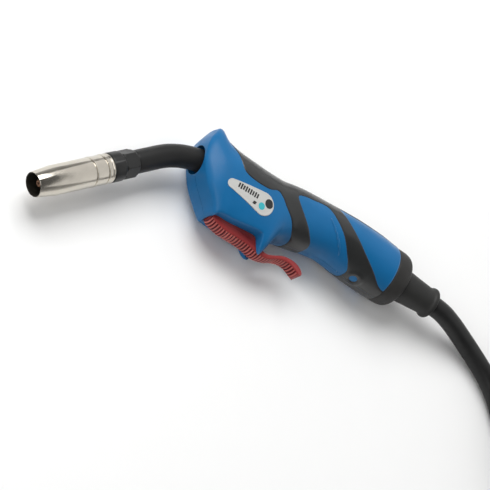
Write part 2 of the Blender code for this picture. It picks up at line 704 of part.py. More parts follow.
def make_switch(black, steel, rubber):
    pin = [(-8.6, 0), (-8.6, 1.3), (8.6, 1.3), (8.6, 0)]
    add_object("trigger_pin", turned(pin, PIVOT, (0, 0, 1), 12), steel, PIVOT)
    body = add_object("switch_body", block((-117.0, -26.4, -3.2), (-99.5, -16.6, 3.2)), black)
    cut(body, block((PLUNGER_X - 1.9, -30, -1.7), (PLUNGER_X + 1.9, -21.0, 1.7)), "plunger_well")
    plunger = block((PLUNGER_X - 1.5, -28.6, -1.3), (PLUNGER_X + 1.5, -23.6, 1.3))
    add_object("switch_plunger", plunger, steel, Vector((PLUNGER_X, -28.6, 0)))
    coil = [Vector((-94.0 + 2.4 * math.cos(turn), -28.0 + 6.6 * turn / (8 * math.pi), 2.4 * math.sin(turn)))
            for turn in np.linspace(0, 8 * math.pi, 41)]
    add_object("trigger_spring", wire(coil, 0.4, 4), steel, Vector((-94.0, -28.0, 0)))
    lead = smooth_path([(-103, -16.2, 0), (-102, -14.2, 0), (-97, -12.4, 0.6), (-88, -10.8, 3.0),
                        (-80, -7.6, 8.0), (-70, -5.6, 9.6), (-40, -5.0, 9.8), (-14, -5.0, 9.8)], 2)
    add_object("switch_lead", wire(lead, 1.4, 6), rubber)


# ---------------------------------------------------------------- cable end of the handle

def make_swivel(black, rubber, inner_start):
    centre = Vector((BALL_X, 0, 0))
    bore = CABLE_RADIUS + GAP
    front, rear = -9.6, 8.4
    arc = []
    for i in range(7):
        along = front + (rear - front) * i / 6
        arc.append((along, math.sqrt(BALL_RADIUS**2 - along**2)))
    ball = [(front, bore)] + arc + [(rear, bore)]
    add_object("swivel_ball", turned(ball, centre, (1, 0, 0), 20), black, centre)
    relief = [(rear + GAP, bore), (rear + GAP, 10.4), (12.0, 10.9), (20.0, 10.2), (32.0, 9.2),
              (34.6, 9.4), (36.0, 10.1), (37.6, 10.2), (38.5, 9.4), (38.5, bore)]
    add_object("strain_relief", turned(relief, centre, (1, 0, 0), 20), rubber, centre)
    sheath = [(-9.0, 0), (-9.0, CABLE_RADIUS), (38.5, CABLE_RADIUS), (38.5, 0)]
    add_object("relief_cable", turned(sheath, centre, (1, 0, 0), 16), rubber, centre)
    length = -11.0 - inner_start
    core = [(0, 0), (0, CABLE_RADIUS), (length, CABLE_RADIUS), (length, 0)]
    add_object("handle_cable", turned(core, (inner_start, NECK_ENTRY.y / 2, 0), (1, 0, 0), 16), rubber)


# The cable's route from the strain relief to the coil: torch millimetres, on the surface after the fall
def lead_route():
    rest = FLOOR + CABLE_RADIUS + 0.2
    coiled = FLOOR + TIE_THICKNESS + GAP + CABLE_RADIUS
    join_point = COIL_CENTRE + outer_turn() * Vector((math.cos(LEAD_ANGLE), math.sin(LEAD_ANGLE), 0))
    return [Vector(p) for p in (
        (RELIEF_END + 2 * GAP, 0, 0), (45.6, 0, -0.1), (52.1, -0.2, -0.8), (58.6, -0.7, -2.3), (66.5, -1.6, -4.8),
        (74.4, -3.0, -7.4), (82.2, -4.9, -9.6), (89.8, -7.5, -11.1), (97.0, -10.9, -11.8), (105.5, -16.1, rest),
        (113.9, -23.1, rest), (121.2, -31.3, rest), (128.0, -40.0, rest), (134.8, -48.7, rest),
        (141.6, -57.3, -11.5), (148.3, -66.0, -10.8), (join_point.x, join_point.y, coiled))]


def outer_turn():
    return COIL_RADIUS + TURN_PITCH * (COIL_COLUMNS - 1) / 2


def tail_route():
    """From the top outer turn, down near the surface and up again into the plug's boot, about the coil's centre."""
    end = PLUG_PLACE - plug_heading() * GAP
    points = [(0, -outer_turn(), 2.5), (13.0, -88.1, 2.5), (26.0, -88.1, 2.3), (39.0, -88.1, 0.3),
              (52.0, -88.0, -3.8), (64.8, -86.0, -7.9), (77.0, -81.5, -9.9), (88.1, -74.7, -9.8),
              (97.6, -65.9, -8.0), (105.2, -55.4, -4.5), (110.6, -43.6, -0.2), (113.6, -30.9, 2.6),
              (end.x, end.y - 6.0, FLOOR + PLUG_AXIS_HEIGHT), (end.x, end.y, FLOOR + PLUG_AXIS_HEIGHT)]
    return [COIL_CENTRE + Vector(p) for p in points]


def plug_heading():
    return Vector((0, 1, 0))


def plug_start():
    """The centre of the boot's end, where the cable goes in."""
    return COIL_CENTRE + PLUG_PLACE + Vector((0, 0, FLOOR + PLUG_AXIS_HEIGHT))


def cord_object(name, points, finish):
    """A rubber cable as a bevelled curve with closed ends."""
    curve = bpy.data.curves.new(name, "CURVE")
    curve.dimensions = "3D"
    curve.bevel_depth = CABLE_RADIUS * MM
    curve.bevel_resolution = 2
    curve.use_fill_caps = True
    spline = curve.splines.new("POLY")
    spline.points.add(len(points) - 1)
    for slot, point in zip(spline.points, points):
        slot.co = (*((point + ORIGIN) * MM), 1.0)
    curve.materials.append(finish)
    made = bpy.data.objects.new(name, curve)
    bpy.context.scene.collection.objects.link(made)


def make_cable(rubber, strap):
    """The free run, one turned ring for the coil with its two ties, and the tail up to the plug."""
    inner = COIL_RADIUS - TURN_PITCH * (COIL_COLUMNS - 1) / 2 - CABLE_RADIUS
    outer = outer_turn() + CABLE_RADIUS
    floor = FLOOR + TIE_THICKNESS + GAP
    top = floor + 2 * CABLE_RADIUS + TURN_PITCH * (COIL_LEVELS - 1)
    for name, route in (("torch_cable", lead_route()), ("plug_lead", tail_route())):
        free = [p for p in smooth_path(route, 8) if (p.xy - COIL_CENTRE.xy).length > outer + CABLE_RADIUS + 1.0]
        cord_object(name, free[:1] + spaced(free[8:-8], 3 * CABLE_RADIUS) + free[-1:], rubber)
    edge = 3.0
    section = [(floor, inner + edge), (floor, outer - edge), (floor + edge, outer), (top - edge, outer),
               (top, outer - edge), (top, inner + edge), (top - edge, inner), (floor + edge, inner)]
    base = Vector((COIL_CENTRE.x, COIL_CENTRE.y, 0))
    add_object("cable_coil", turned(section, base, (0, 0, 1), 32), rubber)
    for number, angle in enumerate(TIE_ANGLES):
        make_tie(f"coil_tie_{number + 1}", angle, (inner, outer), (floor, top), strap)


def make_tie(name, angle, across, height, finish):
    """A strap round the whole bundle of turns, standing at one place on the coil."""
    loops = []
    for reach in (GAP, GAP + TIE_THICKNESS - 0.02):
        near = across[0] - TIE_SLACK - reach
        loops.append([(near, height[0] - reach), (across[1] + reach, height[0] - reach),
                      (across[1] + reach, height[1] + reach), (near, height[1] + reach)])
    outward = Vector((math.cos(angle), math.sin(angle), 0))
    along = Vector((-math.sin(angle), math.cos(angle), 0))
    points = []
    for shift in (-TIE_WIDTH / 2, TIE_WIDTH / 2):
        for loop in loops:
            points += [COIL_CENTRE + along * shift + outward * out + Vector((0, 0, z)) for out, z in loop]
    faces = []
    for i in range(4):
        j = (i + 1) % 4
        faces += [(i, j, j + 4, i + 4), (i + 8, j + 8, j + 12, i + 12), (i, j, j + 8, i + 8),
                  (i + 4, j + 4, j + 12, i + 12)]
    add_object(name, mesh_from(points, faces), finish)


def spaced(points, step):
    """Even points along a path, no further apart than the step."""
    lengths = [0.0]
    for before, after in zip(points[:-1], points[1:]):
        lengths.append(lengths[-1] + (after - before).length)
    count = max(2, math.ceil(lengths[-1] / step))
    out = []
    for i in range(count + 1):
        reach = lengths[-1] * i / count
        k = min(max(j for j in range(len(points)) if lengths[j] <= reach + 1e-9), len(points) - 2)
        share = (reach - lengths[k]) / (lengths[k + 1] - lengths[k])
        out.append(points[k].lerp(points[k + 1], share))
    return out


def make_plug(black, rubber, brass, steel):
    """A central connector: boot, two housing halves, lock nut, brass body, wire tube and two sprung pins."""
    base = plug_start()
    axis = plug_heading()
    boot = [(0, 0), (0, 8.6), (1.5, 9.6), (4.0, 9.6), (5.5, 8.8), (22.0, 11.0), (26.0, 11.4), (26.0, 0)]
    add_object("plug_boot", turned(boot, base, axis, 16), rubber)
    across_way, _ = frame_on(axis)
    screws = [base + axis * 40.0 + across_way * 14.6, base + axis * 60.0 - across_way * 14.6]
    for side, name in ((1, "plug_housing_top"), (-1, "plug_housing_bottom")):
        shape = [(26.3, 12.0), (26.3, 14.4), (30.0, 16.4), (44.0, 18.4), (70.0, 18.8), (71.0, 18.4), (71.0, 12.0)]
        half = add_object(name, turned(shape, base, axis, 20), black)
        low, high = sorted((base.z + side * GAP / 2, base.z + side * 60))
        keep(half, block((-200, -200, low), (500, 500, high)), "half")
        for number, place in enumerate(screws):
            hole = [(-6.4, 0), (-6.4, 1.1 + GAP), (4.6, 1.1 + GAP), (4.6, 2.0 + GAP), (40, 2.0 + GAP), (40, 0)]
            cut(half, turned(hole, place, (0, 0, 1), 12), f"screw_hole_{number + 1}")
    for number, place in enumerate(screws):
        profile = [(-6.0, 0), (-6.0, 1.1), (5.0, 1.1), (5.0, 2.0), (6.4, 2.0), (6.4, 0)]
        add_object(f"plug_screw_{number + 1}", turned(profile, place, (0, 0, 1), 12), steel, place)
    shape = [(26.6, 0), (26.6, 11.0), (74.0, 11.0), (74.0, 15.0), (78.0, 15.0), (78.0, 9.6), (96.0, 9.6),
             (97.0, 9.0), (97.0, 4.6), (92.0, 4.6), (92.0, 0)]
    body = add_object("plug_body", turned(shape, base, axis, 20), brass)
    nut = [(71.3, 15.5), (71.3, 20.6), (72.4, 21.6), (88.0, 21.6), (89.0, 20.6), (89.0, 15.5)]
    centre = base + axis * 80.0
    add_object("plug_nut", turned([(a - 80.0, r) for a, r in nut], centre, axis, 24), black, centre)
    for number, turn in enumerate((-1, 1)):
        place = base + across_way * PIN_CIRCLE * turn
        hole = [(70, 0), (70, 1.5 + GAP), (80, 1.5 + GAP), (80, 0)]
        cut(body, turned(hole, place, axis, 12), f"pin_hole_{number + 1}")
        pin = [(-11.5, 0), (-11.5, 1.5), (-0.8, 1.5), (0, 0.9), (0, 0)]
        tip = place + axis * 86.5
        add_object(f"plug_pin_{number + 1}", turned(pin, tip, axis, 10), brass, tip)
    tube = [(92.3, 1.4), (92.3, 2.6), (110.0, 2.6), (110.6, 2.2), (110.6, 1.4)]
    add_object("plug_tube", turned(tube, base, axis, 12), steel)


def main():
    clear_scene()
    kinds = materials()
    make_nozzle(kinds["nickel"])
    make_tip(kinds["copper"], kinds["brass"], kinds["steel"])
    inner_start = make_neck(kinds["black"], kinds["rubber"], kinds["copper"], kinds["brass"])
    for side, word in ((1, "left"), (-1, "right")):
        make_shell(f"{word}_shell", side, kinds["blue"])
        make_grip(f"{word}_grip", side, kinds["grip"])
    make_label(kinds["white"])
    make_screws(kinds["steel"])
    make_trigger(kinds["red"])
    make_switch(kinds["black"], kinds["steel"], kinds["rubber"])
    make_collar(kinds["grip"])
    make_swivel(kinds["black"], kinds["rubber"], inner_start)
    make_cable(kinds["rubber"], kinds["strap"])
    make_plug(kinds["black"], kinds["rubber"], kinds["brass"], kinds["steel"])


main()
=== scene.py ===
"""MIG welding torch lying on its right cheek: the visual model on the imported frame.

Lengths below are torch millimetres: +X runs back along the handle from the front of the rear collar,
+Y is the torch's own up and +Z its left side. at() turns them into the frame's metres.
"""
from math import acos, atan2, cos, exp, hypot, pi, radians, sin, sqrt

import bmesh
import bpy
import numpy as np
from mathutils import Matrix, Vector


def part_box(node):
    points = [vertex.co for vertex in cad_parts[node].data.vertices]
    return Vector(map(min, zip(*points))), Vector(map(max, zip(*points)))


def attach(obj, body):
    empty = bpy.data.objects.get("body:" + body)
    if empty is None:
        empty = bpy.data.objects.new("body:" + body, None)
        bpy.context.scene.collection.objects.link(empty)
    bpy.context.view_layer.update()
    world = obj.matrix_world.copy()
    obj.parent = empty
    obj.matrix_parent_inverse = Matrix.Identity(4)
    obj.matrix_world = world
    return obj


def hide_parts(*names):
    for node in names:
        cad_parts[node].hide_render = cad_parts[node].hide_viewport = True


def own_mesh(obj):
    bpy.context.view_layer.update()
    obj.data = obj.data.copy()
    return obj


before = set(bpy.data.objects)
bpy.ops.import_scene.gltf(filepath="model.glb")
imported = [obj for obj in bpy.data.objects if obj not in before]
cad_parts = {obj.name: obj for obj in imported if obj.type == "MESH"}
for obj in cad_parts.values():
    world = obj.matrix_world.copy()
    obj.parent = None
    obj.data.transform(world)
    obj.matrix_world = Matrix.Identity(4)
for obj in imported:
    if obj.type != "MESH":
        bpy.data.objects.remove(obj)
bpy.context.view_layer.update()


MM = 0.001
GAP = 0.3
COLLAR_LOW, COLLAR_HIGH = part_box("rear_collar")
ORIGIN = Vector((COLLAR_LOW[0] / MM - GAP, (COLLAR_LOW[1] + COLLAR_HIGH[1]) / 2 / MM,
                 (COLLAR_LOW[2] + COLLAR_HIGH[2]) / 2 / MM))
FLOOR = -ORIGIN.z

# Swan neck
NECK_BEND = radians(41.5)
NECK_BEND_RADIUS = 62.0
NECK_STRAIGHT = 92.0
NECK_END = NECK_STRAIGHT + NECK_BEND_RADIUS * NECK_BEND
NECK_ENTRY = Vector((-132.6, -1.2, 0.0))
BACK = Vector((cos(NECK_BEND), sin(NECK_BEND), 0))  # from the nozzle's mouth to the handle

# Trigger
PIVOT = Vector((-124.5, -30.6, 0.0))
TRIGGER_HALF = 5.4
TAIL_HALF = 4.8
SLOT_HALF = 5.9
SLOT_FRONT, SLOT_REAR, SLOT_CEILING = -129.2, -84.0, -21.3

# Cable, coil and plug
CABLE_RADIUS = 6.5
BALL_X = 3.5
BALL_RADIUS = 13.4
RELIEF_END = 42.0
COIL_CENTRE = Vector((224.0, -20.0, 0.0))
COIL_RADIUS = 75.0
TURN_PITCH = 13.1
OUTER_TURN = COIL_RADIUS + TURN_PITCH
LEAD_ANGLE = radians(-142.0)
TIE_ANGLES = (radians(100.0), radians(250.0))
TIE_THICKNESS = 1.2
PIN_CIRCLE = 12.9
COIL_BASE = FLOOR + TIE_THICKNESS + GAP + CABLE_RADIUS        # cable axis in the coil's lower layer
PLUG_START = COIL_CENTRE + Vector((114.2, -13.8, FLOOR + 21.8))

# Camera: which way its right and its back point, what it looks at and from how far (metres)
CAMERA_RIGHT, CAMERA_BACK = (0.769, 0.262, 0.583), (-0.419, -0.481, 0.770)
CAMERA_AIM = (-98.9, -36.3, 0)
CAMERA_DISTANCE = 1.5
CAMERA_LENS = 181.9

# Each finish by name
FINISHES = {}


def at(point):
    """A point in torch millimetres as a place in the frame."""
    return (ORIGIN + Vector(point)) * MM


def clamp(value):
    return min(max(value, 0.0), 1.0)


def stand(name, data):
    """A new object in the scene."""
    made = bpy.data.objects.new(name, data)
    bpy.context.scene.collection.objects.link(made)
    return made


def wired(node, **values):
    """A shader node with its inputs set, each to a value or to another node's output."""
    for name, value in values.items():
        socket = node.inputs[name.replace("_", " ")]
        if isinstance(value, bpy.types.NodeSocket):
            node.id_data.links.new(value, socket)
        else:
            socket.default_value = value
    return node


# ---------------- camera, floor and light

def make_camera():
    right, back = Vector(CAMERA_RIGHT), Vector(CAMERA_BACK).normalized()
    right = (right - back * right.dot(back)).normalized()
    turn = Matrix((right, back.cross(right), back)).transposed().to_4x4()
    turn.translation = at(CAMERA_AIM) + back * CAMERA_DISTANCE
    camera = stand("camera", bpy.data.cameras.new("camera"))
    camera.matrix_world = turn
    camera.data.sensor_width = 36.0
    camera.data.lens = CAMERA_LENS
    camera.data.clip_end = 20.0
    bpy.context.scene.camera = camera


def make_room():
    floor = bpy.data.meshes.new("floor")
    floor.from_pydata([(-3, -3, 0), (3, -3, 0), (3, 3, 0), (-3, 3, 0)], [], [(0, 1, 2, 3)])
    floor.materials.append(surface("floor_paper", (0.96, 0.96, 0.955), 0.8, mottle=0.004, grain=(900, 0.02)))
    floor_piece = stand("floor", floor)
    floor_piece.location.z = -0.0002
    for name, place, aim, size, power in (
            ("softbox", (0.84, 0.71, 0.89), (-0.19, -0.15, 0.02), (3.2, 1.3), 9.5),
            ("key", (-0.80, 0.75, 1.40), (0, 0, 0), (1.5, 1.1), 30.0),
            ("front_fill", (-0.9, -0.8, 1.2), (0, 0, 0), (1.1, 0.9), 7.0)):
        light = bpy.data.lights.new(name, "AREA")
        light.shape = "RECTANGLE"
        light.size, light.size_y = size
        light.energy = power
        lamp = stand(name, light)
        lamp.location = place
        lamp.rotation_euler = (Vector(aim) - Vector(place)).to_track_quat("-Z", "Y").to_euler()
    world = bpy.data.worlds.new("room")
    bpy.context.scene.world = world
    world.use_nodes = True
    nodes = world.node_tree.nodes
    place = nodes.new("ShaderNodeTexCoord").outputs["Generated"]
    split = wired(nodes.new("ShaderNodeSeparateXYZ"), Vector=place)
    height = wired(nodes.new("ShaderNodeMapRange"), From_Min=-1.0, Value=split.outputs["Z"])
    ramp = wired(nodes.new("ShaderNodeValToRGB"), Fac=height.outputs["Result"])
    wired(nodes["Background"], Color=ramp.outputs["Color"], Strength=1.0)
    greys = ((0.0, 0.5), (0.50, 0.45), (0.56, 0.42), (0.66, 0.22), (0.80, 0.12), (1.0, 0.10))
    stops = ramp.color_ramp.elements
    for position, _ in greys[1:-1]:
        stops.new(position)
    for stop, (_, grey) in zip(stops, greys):
        stop.color = (grey, grey, grey, 1)
    bpy.context.scene.view_settings.view_transform = "Standard"


# ---------------- materials

def surface(name, colour, rough, metallic=0.0, mottle=0.05, mottle_scale=60.0, grain=(1800, 0.15),
            rough_swing=0.06, wear=0.0, coat=0.0, turned_about=None, sheen=0.0):
    """A procedural finish: mottled colour, uneven gloss, a fine grain, worn edges and turning marks."""
    made = bpy.data.materials.new(name)
    made.use_nodes = True
    nodes = made.node_tree.nodes
    place = nodes.new("ShaderNodeTexCoord").outputs["Object"]

    def clouds(scale, detail):
        found = wired(nodes.new("ShaderNodeTexNoise"), Vector=place, Scale=scale, Detail=detail)
        return found.outputs["Fac"]

    def spread(source, low, high, start=0.3, end=0.7):
        found = wired(nodes.new("ShaderNodeMapRange"), Value=source, From_Min=start, From_Max=end,
                      To_Min=low, To_Max=high)
        return found.outputs["Result"]

    def blend(share, under, over):
        found = nodes.new("ShaderNodeMix")
        found.data_type = "RGBA"
        return wired(found, Factor=share, A=under, B=over).outputs["Result"]

    dark = [c * (1 - mottle) for c in colour]
    light = [min(1.0, c * (1 + mottle) + 0.01 * mottle) for c in colour]
    tint = blend(spread(clouds(mottle_scale, 5), 0, 1), (*dark, 1), (*light, 1))
    if wear:
        edge = spread(nodes.new("ShaderNodeNewGeometry").outputs["Pointiness"], 0, wear, 0.53, 0.62)
        tint = blend(edge, tint, (*[c + (0.55 - c) * 0.45 for c in colour], 1))
    if turned_about:
        along = nodes.new("ShaderNodeVectorMath")
        along.operation = "DOT_PRODUCT"
        along.inputs[1].default_value = turned_about
        made.node_tree.links.new(place, along.inputs[0])
        marks = nodes.new("ShaderNodeTexNoise")
        marks.noise_dimensions = "1D"
        height = wired(marks, Scale=3500, W=along.outputs["Value"]).outputs["Fac"]
    else:
        height = clouds(grain[0], 3)
    bump = wired(nodes.new("ShaderNodeBump"), Strength=grain[1], Distance=0.0002, Height=height)
    wired(nodes["Principled BSDF"], Base_Color=tint, Metallic=metallic,
          Roughness=spread(clouds(mottle_scale * 2.3, 4), rough - rough_swing, rough + rough_swing),
          Specular_IOR_Level=0.5 if metallic else 0.22, Coat_Weight=coat, Coat_Roughness=0.2,
          Sheen_Weight=sheen, Normal=bump.outputs["Normal"])
    return made


def make_finishes():
    back = tuple(BACK)
    return {
        "blue": surface("blue_moulding", (0.007, 0.127, 0.318), 0.34, grain=(2600, 0.10), wear=0.6),
        "grip": surface("soft_grip", (0.016, 0.017, 0.017), 0.50, mottle=0.14, grain=(2400, 0.25), coat=0.6),
        "red": surface("red_moulding", (0.290, 0.034, 0.034), 0.38, mottle=0.10, grain=(2200, 0.14),
                       wear=0.5),
        # Rib crests: red rubbed by wear, and lighter still as a painted highlight
        "red_worn_and_lit": surface("red_rubbed_with_painted_highlight", (0.48, 0.12, 0.105), 0.42, mottle=0.12, grain=(2200, 0.14)),
        # Rib troughs: a darker red that is painted shade
        "red_trough_shade": surface("red_recess_painted_shade", (0.095, 0.011, 0.015), 0.55, mottle=0.10, grain=(2200, 0.14)),
        "black": surface("black_moulding", (0.021, 0.021, 0.021), 0.33, mottle=0.15, grain=(2200, 0.15),
                         wear=0.2),
        "neck": surface("neck_rubber", (0.014, 0.014, 0.014), 0.42, mottle=0.12, grain=(1500, 0.12)),
        "collar": surface("collar_moulding", (0.029, 0.028, 0.027), 0.50, mottle=0.12, grain=(2400, 0.25)),
        "relief": surface("relief_rubber", (0.027, 0.027, 0.026), 0.50, mottle=0.12, grain=(2000, 0.22)),
        "cable": surface("cable_jacket", (0.016, 0.016, 0.016), 0.36, mottle=0.2, grain=(1200, 0.10)),
        "white": surface("label_film", (0.53, 0.53, 0.51), 0.35, mottle=0.02, grain=(2600, 0.05)),
        "teal": surface("label_teal", (0.05, 0.42, 0.48), 0.35, mottle=0.03, grain=(2600, 0.05)),
        "ink": surface("label_ink", (0.03, 0.03, 0.03), 0.4, mottle=0.1, grain=(2600, 0.05)),
        "nickel": surface("nickel_plate", (0.60, 0.56, 0.49), 0.17, 1.0, 0.05, 90, rough_swing=0.05,
                          grain=(1, 0.05), turned_about=back),
        "copper": surface("copper", (0.75, 0.33, 0.20), 0.26, 1.0, 0.10, 200, grain=(1, 0.08),
                          turned_about=back),
        # Contact tip: copper darkened by use, and darker still as painted shade for its place deep in the
        # nozzle
        "tip": surface("tip_copper_with_painted_shade", (0.20, 0.11, 0.07), 0.45, 0.9, 0.2, 200, grain=(1500, 0.2)),
        # Near-black: soot on the mouth's rim, and in the bore soot plus painted shade
        "soot_and_shade": surface("welding_soot_and_painted_shade", (0.018, 0.016, 0.012), 0.6, mottle=0.3, mottle_scale=400,
                        grain=(900, 0.4)),
        "brass": surface("brass", (0.72, 0.50, 0.22), 0.26, 1.0, 0.08, 150, grain=(900, 0.06)),
        "steel": surface("steel", (0.56, 0.56, 0.57), 0.28, 1.0, 0.06, 200, grain=(1500, 0.10)),
        "strap": surface("woven_strap", (0.018, 0.018, 0.020), 0.85, mottle=0.3, mottle_scale=900,
                         grain=(1600, 0.9), sheen=0.3),
    }


# ---------------- mesh helpers

def piece(name, mesh, finish, body, *nodes, sharp=32):
    """A mesh in torch millimetres becomes a piece that rides on a body and stands for some CAD nodes."""
    mesh.transform(Matrix.Scale(MM, 4) @ Matrix.Translation(ORIGIN))
    made = stand(name, mesh)
    worn = finish if isinstance(finish, tuple) else (finish,)
    for each in worn:
        mesh.materials.append(FINISHES[each])
    mesh.shade_smooth()
    mesh.set_sharp_from_angle(angle=radians(sharp))
    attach(made, body)
    if nodes:
        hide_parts(*nodes)
    return made


def shape_of(*meshes):
    shape = bmesh.new()
    for mesh in meshes:
        shape.from_mesh(mesh)
    return shape


def mesh_of(shape):
    mesh = bpy.data.meshes.new("piece")
    shape.to_mesh(mesh)
    shape.free()
    return mesh


def mesh_from(points, faces, merge=1e-4):
    raw = bpy.data.meshes.new("raw")
    raw.from_pydata([tuple(p) for p in points], [], faces)
    shape = shape_of(raw)
    bpy.data.meshes.remove(raw)
    bmesh.ops.remove_doubles(shape, verts=shape.verts, dist=merge)
    bmesh.ops.recalc_face_normals(shape, faces=shape.faces)
    return mesh_of(shape)


def frame_on(axis):
    """Two directions square to an axis and to each other."""
    axis = Vector(axis).normalized()
    hint = Vector((0, 0, 1)) if abs(axis.z) < 0.9 else Vector((1, 0, 0))
    side = hint.cross(axis).normalized()
    return side, axis.cross(side)


def grid_faces(rows, columns, wrap_rows=False, wrap_columns=True):
    """Four-sided faces between neighbouring points of a grid; either direction may close on itself."""
    faces = []
    for row in range(rows if wrap_rows else rows - 1):
        for column in range(columns if wrap_columns else columns - 1):
            here, there = row * columns, (row + 1) % rows * columns
            after = (column + 1) % columns
            faces.append((here + column, here + after, there + after, there + column))
    return faces


def end_faces(ring, count):
    """The two faces that close a run of rings."""
    return [tuple(range(ring)), tuple(range(count - ring, count))]


def eased(profile, radius, steps=3):
    """Rounds the corners of a profile of (along, radius) points; a third value is a corner's own radius."""
    out = []
    count = len(profile)
    for i, point in enumerate(profile):
        here = Vector(point[:2])
        before, after = Vector(profile[i - 1][:2]) - here, Vector(profile[(i + 1) % count][:2]) - here
        wanted = point[2] if len(point) > 2 else radius
        reach = min(wanted, before.length * 0.45, after.length * 0.45)
        flat = before.length < 1e-6 or after.length < 1e-6 or before.angle(after, pi) > 3.0
        if reach < 0.02 or flat or here.y < 1e-6:
            out.append(here)
            continue
        start, end = here + before.normalized() * reach, here + after.normalized() * reach
        for k in range(steps + 1):
            out.append(start.lerp(here, k / steps).lerp(here.lerp(end, k / steps), k / steps))
    return [(p.x, p.y) for p in out]


def lathe(profile, base, axis, steps=64, reach=None, ease=0.25):
    """A closed profile turned about an axis. reach(along, radius, angle) may reshape the radius."""
    profile = eased(profile, ease)
    axis = Vector(axis).normalized()
    side, up = frame_on(axis)
    points = []
    for along, radius in profile:
        for step in range(steps):
            angle = 2 * pi * step / steps
            out = reach(along, radius, angle) if reach else radius
            points.append(Vector(base) + axis * along
                          + (side * cos(angle) + up * sin(angle)) * out)
    return mesh_from(points, grid_faces(len(profile), steps, wrap_rows=True))


def tangents(centres):
    ends = [centres[0]] + list(centres) + [centres[-1]]
    return [(ends[i + 2] - ends[i]).normalized() for i in range(len(centres))]


def tube(centres, radii, steps=24):
    """A round pipe along a path, closed at both ends; the radius may vary from point to point."""
    side, _ = frame_on(tangents(centres)[0])
    points = []
    for centre, along, radius in zip(centres, tangents(centres), radii):
        side = (side - along * side.dot(along)).normalized()
        up = along.cross(side)
        points += [centre + (side * cos(t) + up * sin(t)) * radius
                   for t in np.linspace(0, 2 * pi, steps, endpoint=False)]
    return mesh_from(points, grid_faces(len(centres), steps) + end_faces(steps, len(points)))


def joined(*meshes):
    """Several meshes as one; each keeps its own closed shapes."""
    return mesh_of(shape_of(*meshes))


def box_mesh(low, high, ease=0.0):
    shape = bmesh.new()
    bmesh.ops.create_cube(shape, size=1.0)
    for vert in shape.verts:
        vert.co = Vector([a + (b - a) * (c + 0.5) for a, b, c in zip(low, high, vert.co)])
    if ease:
        bmesh.ops.bevel(shape, geom=list(shape.edges), offset=ease, segments=3, profile=0.5, affect="EDGES")
    return mesh_of(shape)


def smooth_path(points, per_span, closed=False):
    """A smooth curve through the points."""
    points = [Vector(p) for p in points]
    count = len(points)

    def pick(index):
        return points[index % count] if closed else points[min(max(index, 0), count - 1)]

    out = []
    for span in range(count if closed else count - 1):
        a, b, c, d = (pick(span + k) for k in (-1, 0, 1, 2))
        for step in range(per_span):
            t = step / per_span
            out.append(0.5 * (2 * b + (c - a) * t + (2 * a - 5 * b + 4 * c - d) * t * t
                              + (3 * b - a - 3 * c + d) * t**3))
    return out if closed else out + [points[-1]]


def flat_path(points, per_span=8, closed=True):
    return [(p.x, p.y) for p in smooth_path([(x, y, 0) for x, y in points], per_span, closed)]


def smooth_value(places, values, place):
    """A smooth curve through the values, with no overshoot. place may be an array."""
    places, values = np.asarray(places, float), np.asarray(values, float)
    rises = np.diff(values) / np.diff(places)
    before, after = np.concatenate([rises[:1], rises]), np.concatenate([rises, rises[-1:]])
    both = before * after
    slopes = np.where(both <= 0, 0.0, 2 * both / np.where(both <= 0, 1.0, before + after))
    place = np.clip(place, places[0], places[-1])
    i = np.clip(np.searchsorted(places, place, side="right") - 1, 0, len(places) - 2)
    span = places[i + 1] - places[i]
    t = (place - places[i]) / span
    return ((2 * t**3 - 3 * t**2 + 1) * values[i] + (t**3 - 2 * t**2 + t) * span * slopes[i]
            + (3 * t**2 - 2 * t**3) * values[i + 1] + (t**3 - t**2) * span * slopes[i + 1])


def outline_distance(points, outline):
    """Signed distance of (x, y) points from a closed outline: negative inside."""
    points, outline = np.asarray(points, float), np.asarray(outline, float)
    best = np.full(len(points), 1e9)
    inside = np.zeros(len(points), bool)
    for a, b in zip(outline, np.roll(outline, -1, axis=0)):
        edge = b - a
        share = np.clip(((points - a) @ edge) / max(edge @ edge, 1e-12), 0, 1)
        best = np.minimum(best, np.linalg.norm(points - a - share[:, None] * edge, axis=1))
        crosses = (a[1] > points[:, 1]) != (b[1] > points[:, 1])
        if edge[1]:
            inside ^= crosses & (points[:, 0] < a[0] + (points[:, 1] - a[1]) * edge[0] / edge[1])
    return np.where(inside, -best, best)


# ---------------- the neck's centre line

def neck_point(back):
    """A point of the centre line, so far back from the nozzle's mouth."""
    if back >= NECK_END:
        return NECK_ENTRY + Vector((back - NECK_END, 0, 0))
    turn = min((NECK_END - back) / NECK_BEND_RADIUS, NECK_BEND)
    point = NECK_ENTRY + NECK_BEND_RADIUS * Vector((-sin(turn), cos(turn) - 1, 0))
    return point - BACK * max(NECK_STRAIGHT - back, 0.0)


# ---------------- cords

def lead_route():
    rest = FLOOR + CABLE_RADIUS + 0.2
    join_point = COIL_CENTRE + OUTER_TURN * Vector((cos(LEAD_ANGLE), sin(LEAD_ANGLE), 0))
    route = [(RELIEF_END + 2 * GAP, 0, 0), (45.6, 0, -0.1), (52.1, -0.2, -0.8), (58.6, -0.7, -2.3),
             (66.5, -1.6, -4.8), (74.4, -3.0, -7.4), (82.2, -4.9, -9.6), (89.8, -7.5, -11.1),
             (97.0, -10.9, -11.8), (105.5, -16.1, rest), (113.9, -23.1, rest), (121.2, -31.3, rest),
             (128.0, -40.0, rest), (134.8, -48.7, rest), (141.6, -57.3, -11.5), (148.3, -66.0, -10.8),
             (join_point.x, join_point.y, COIL_BASE)]
    return smooth_path(route, 4)


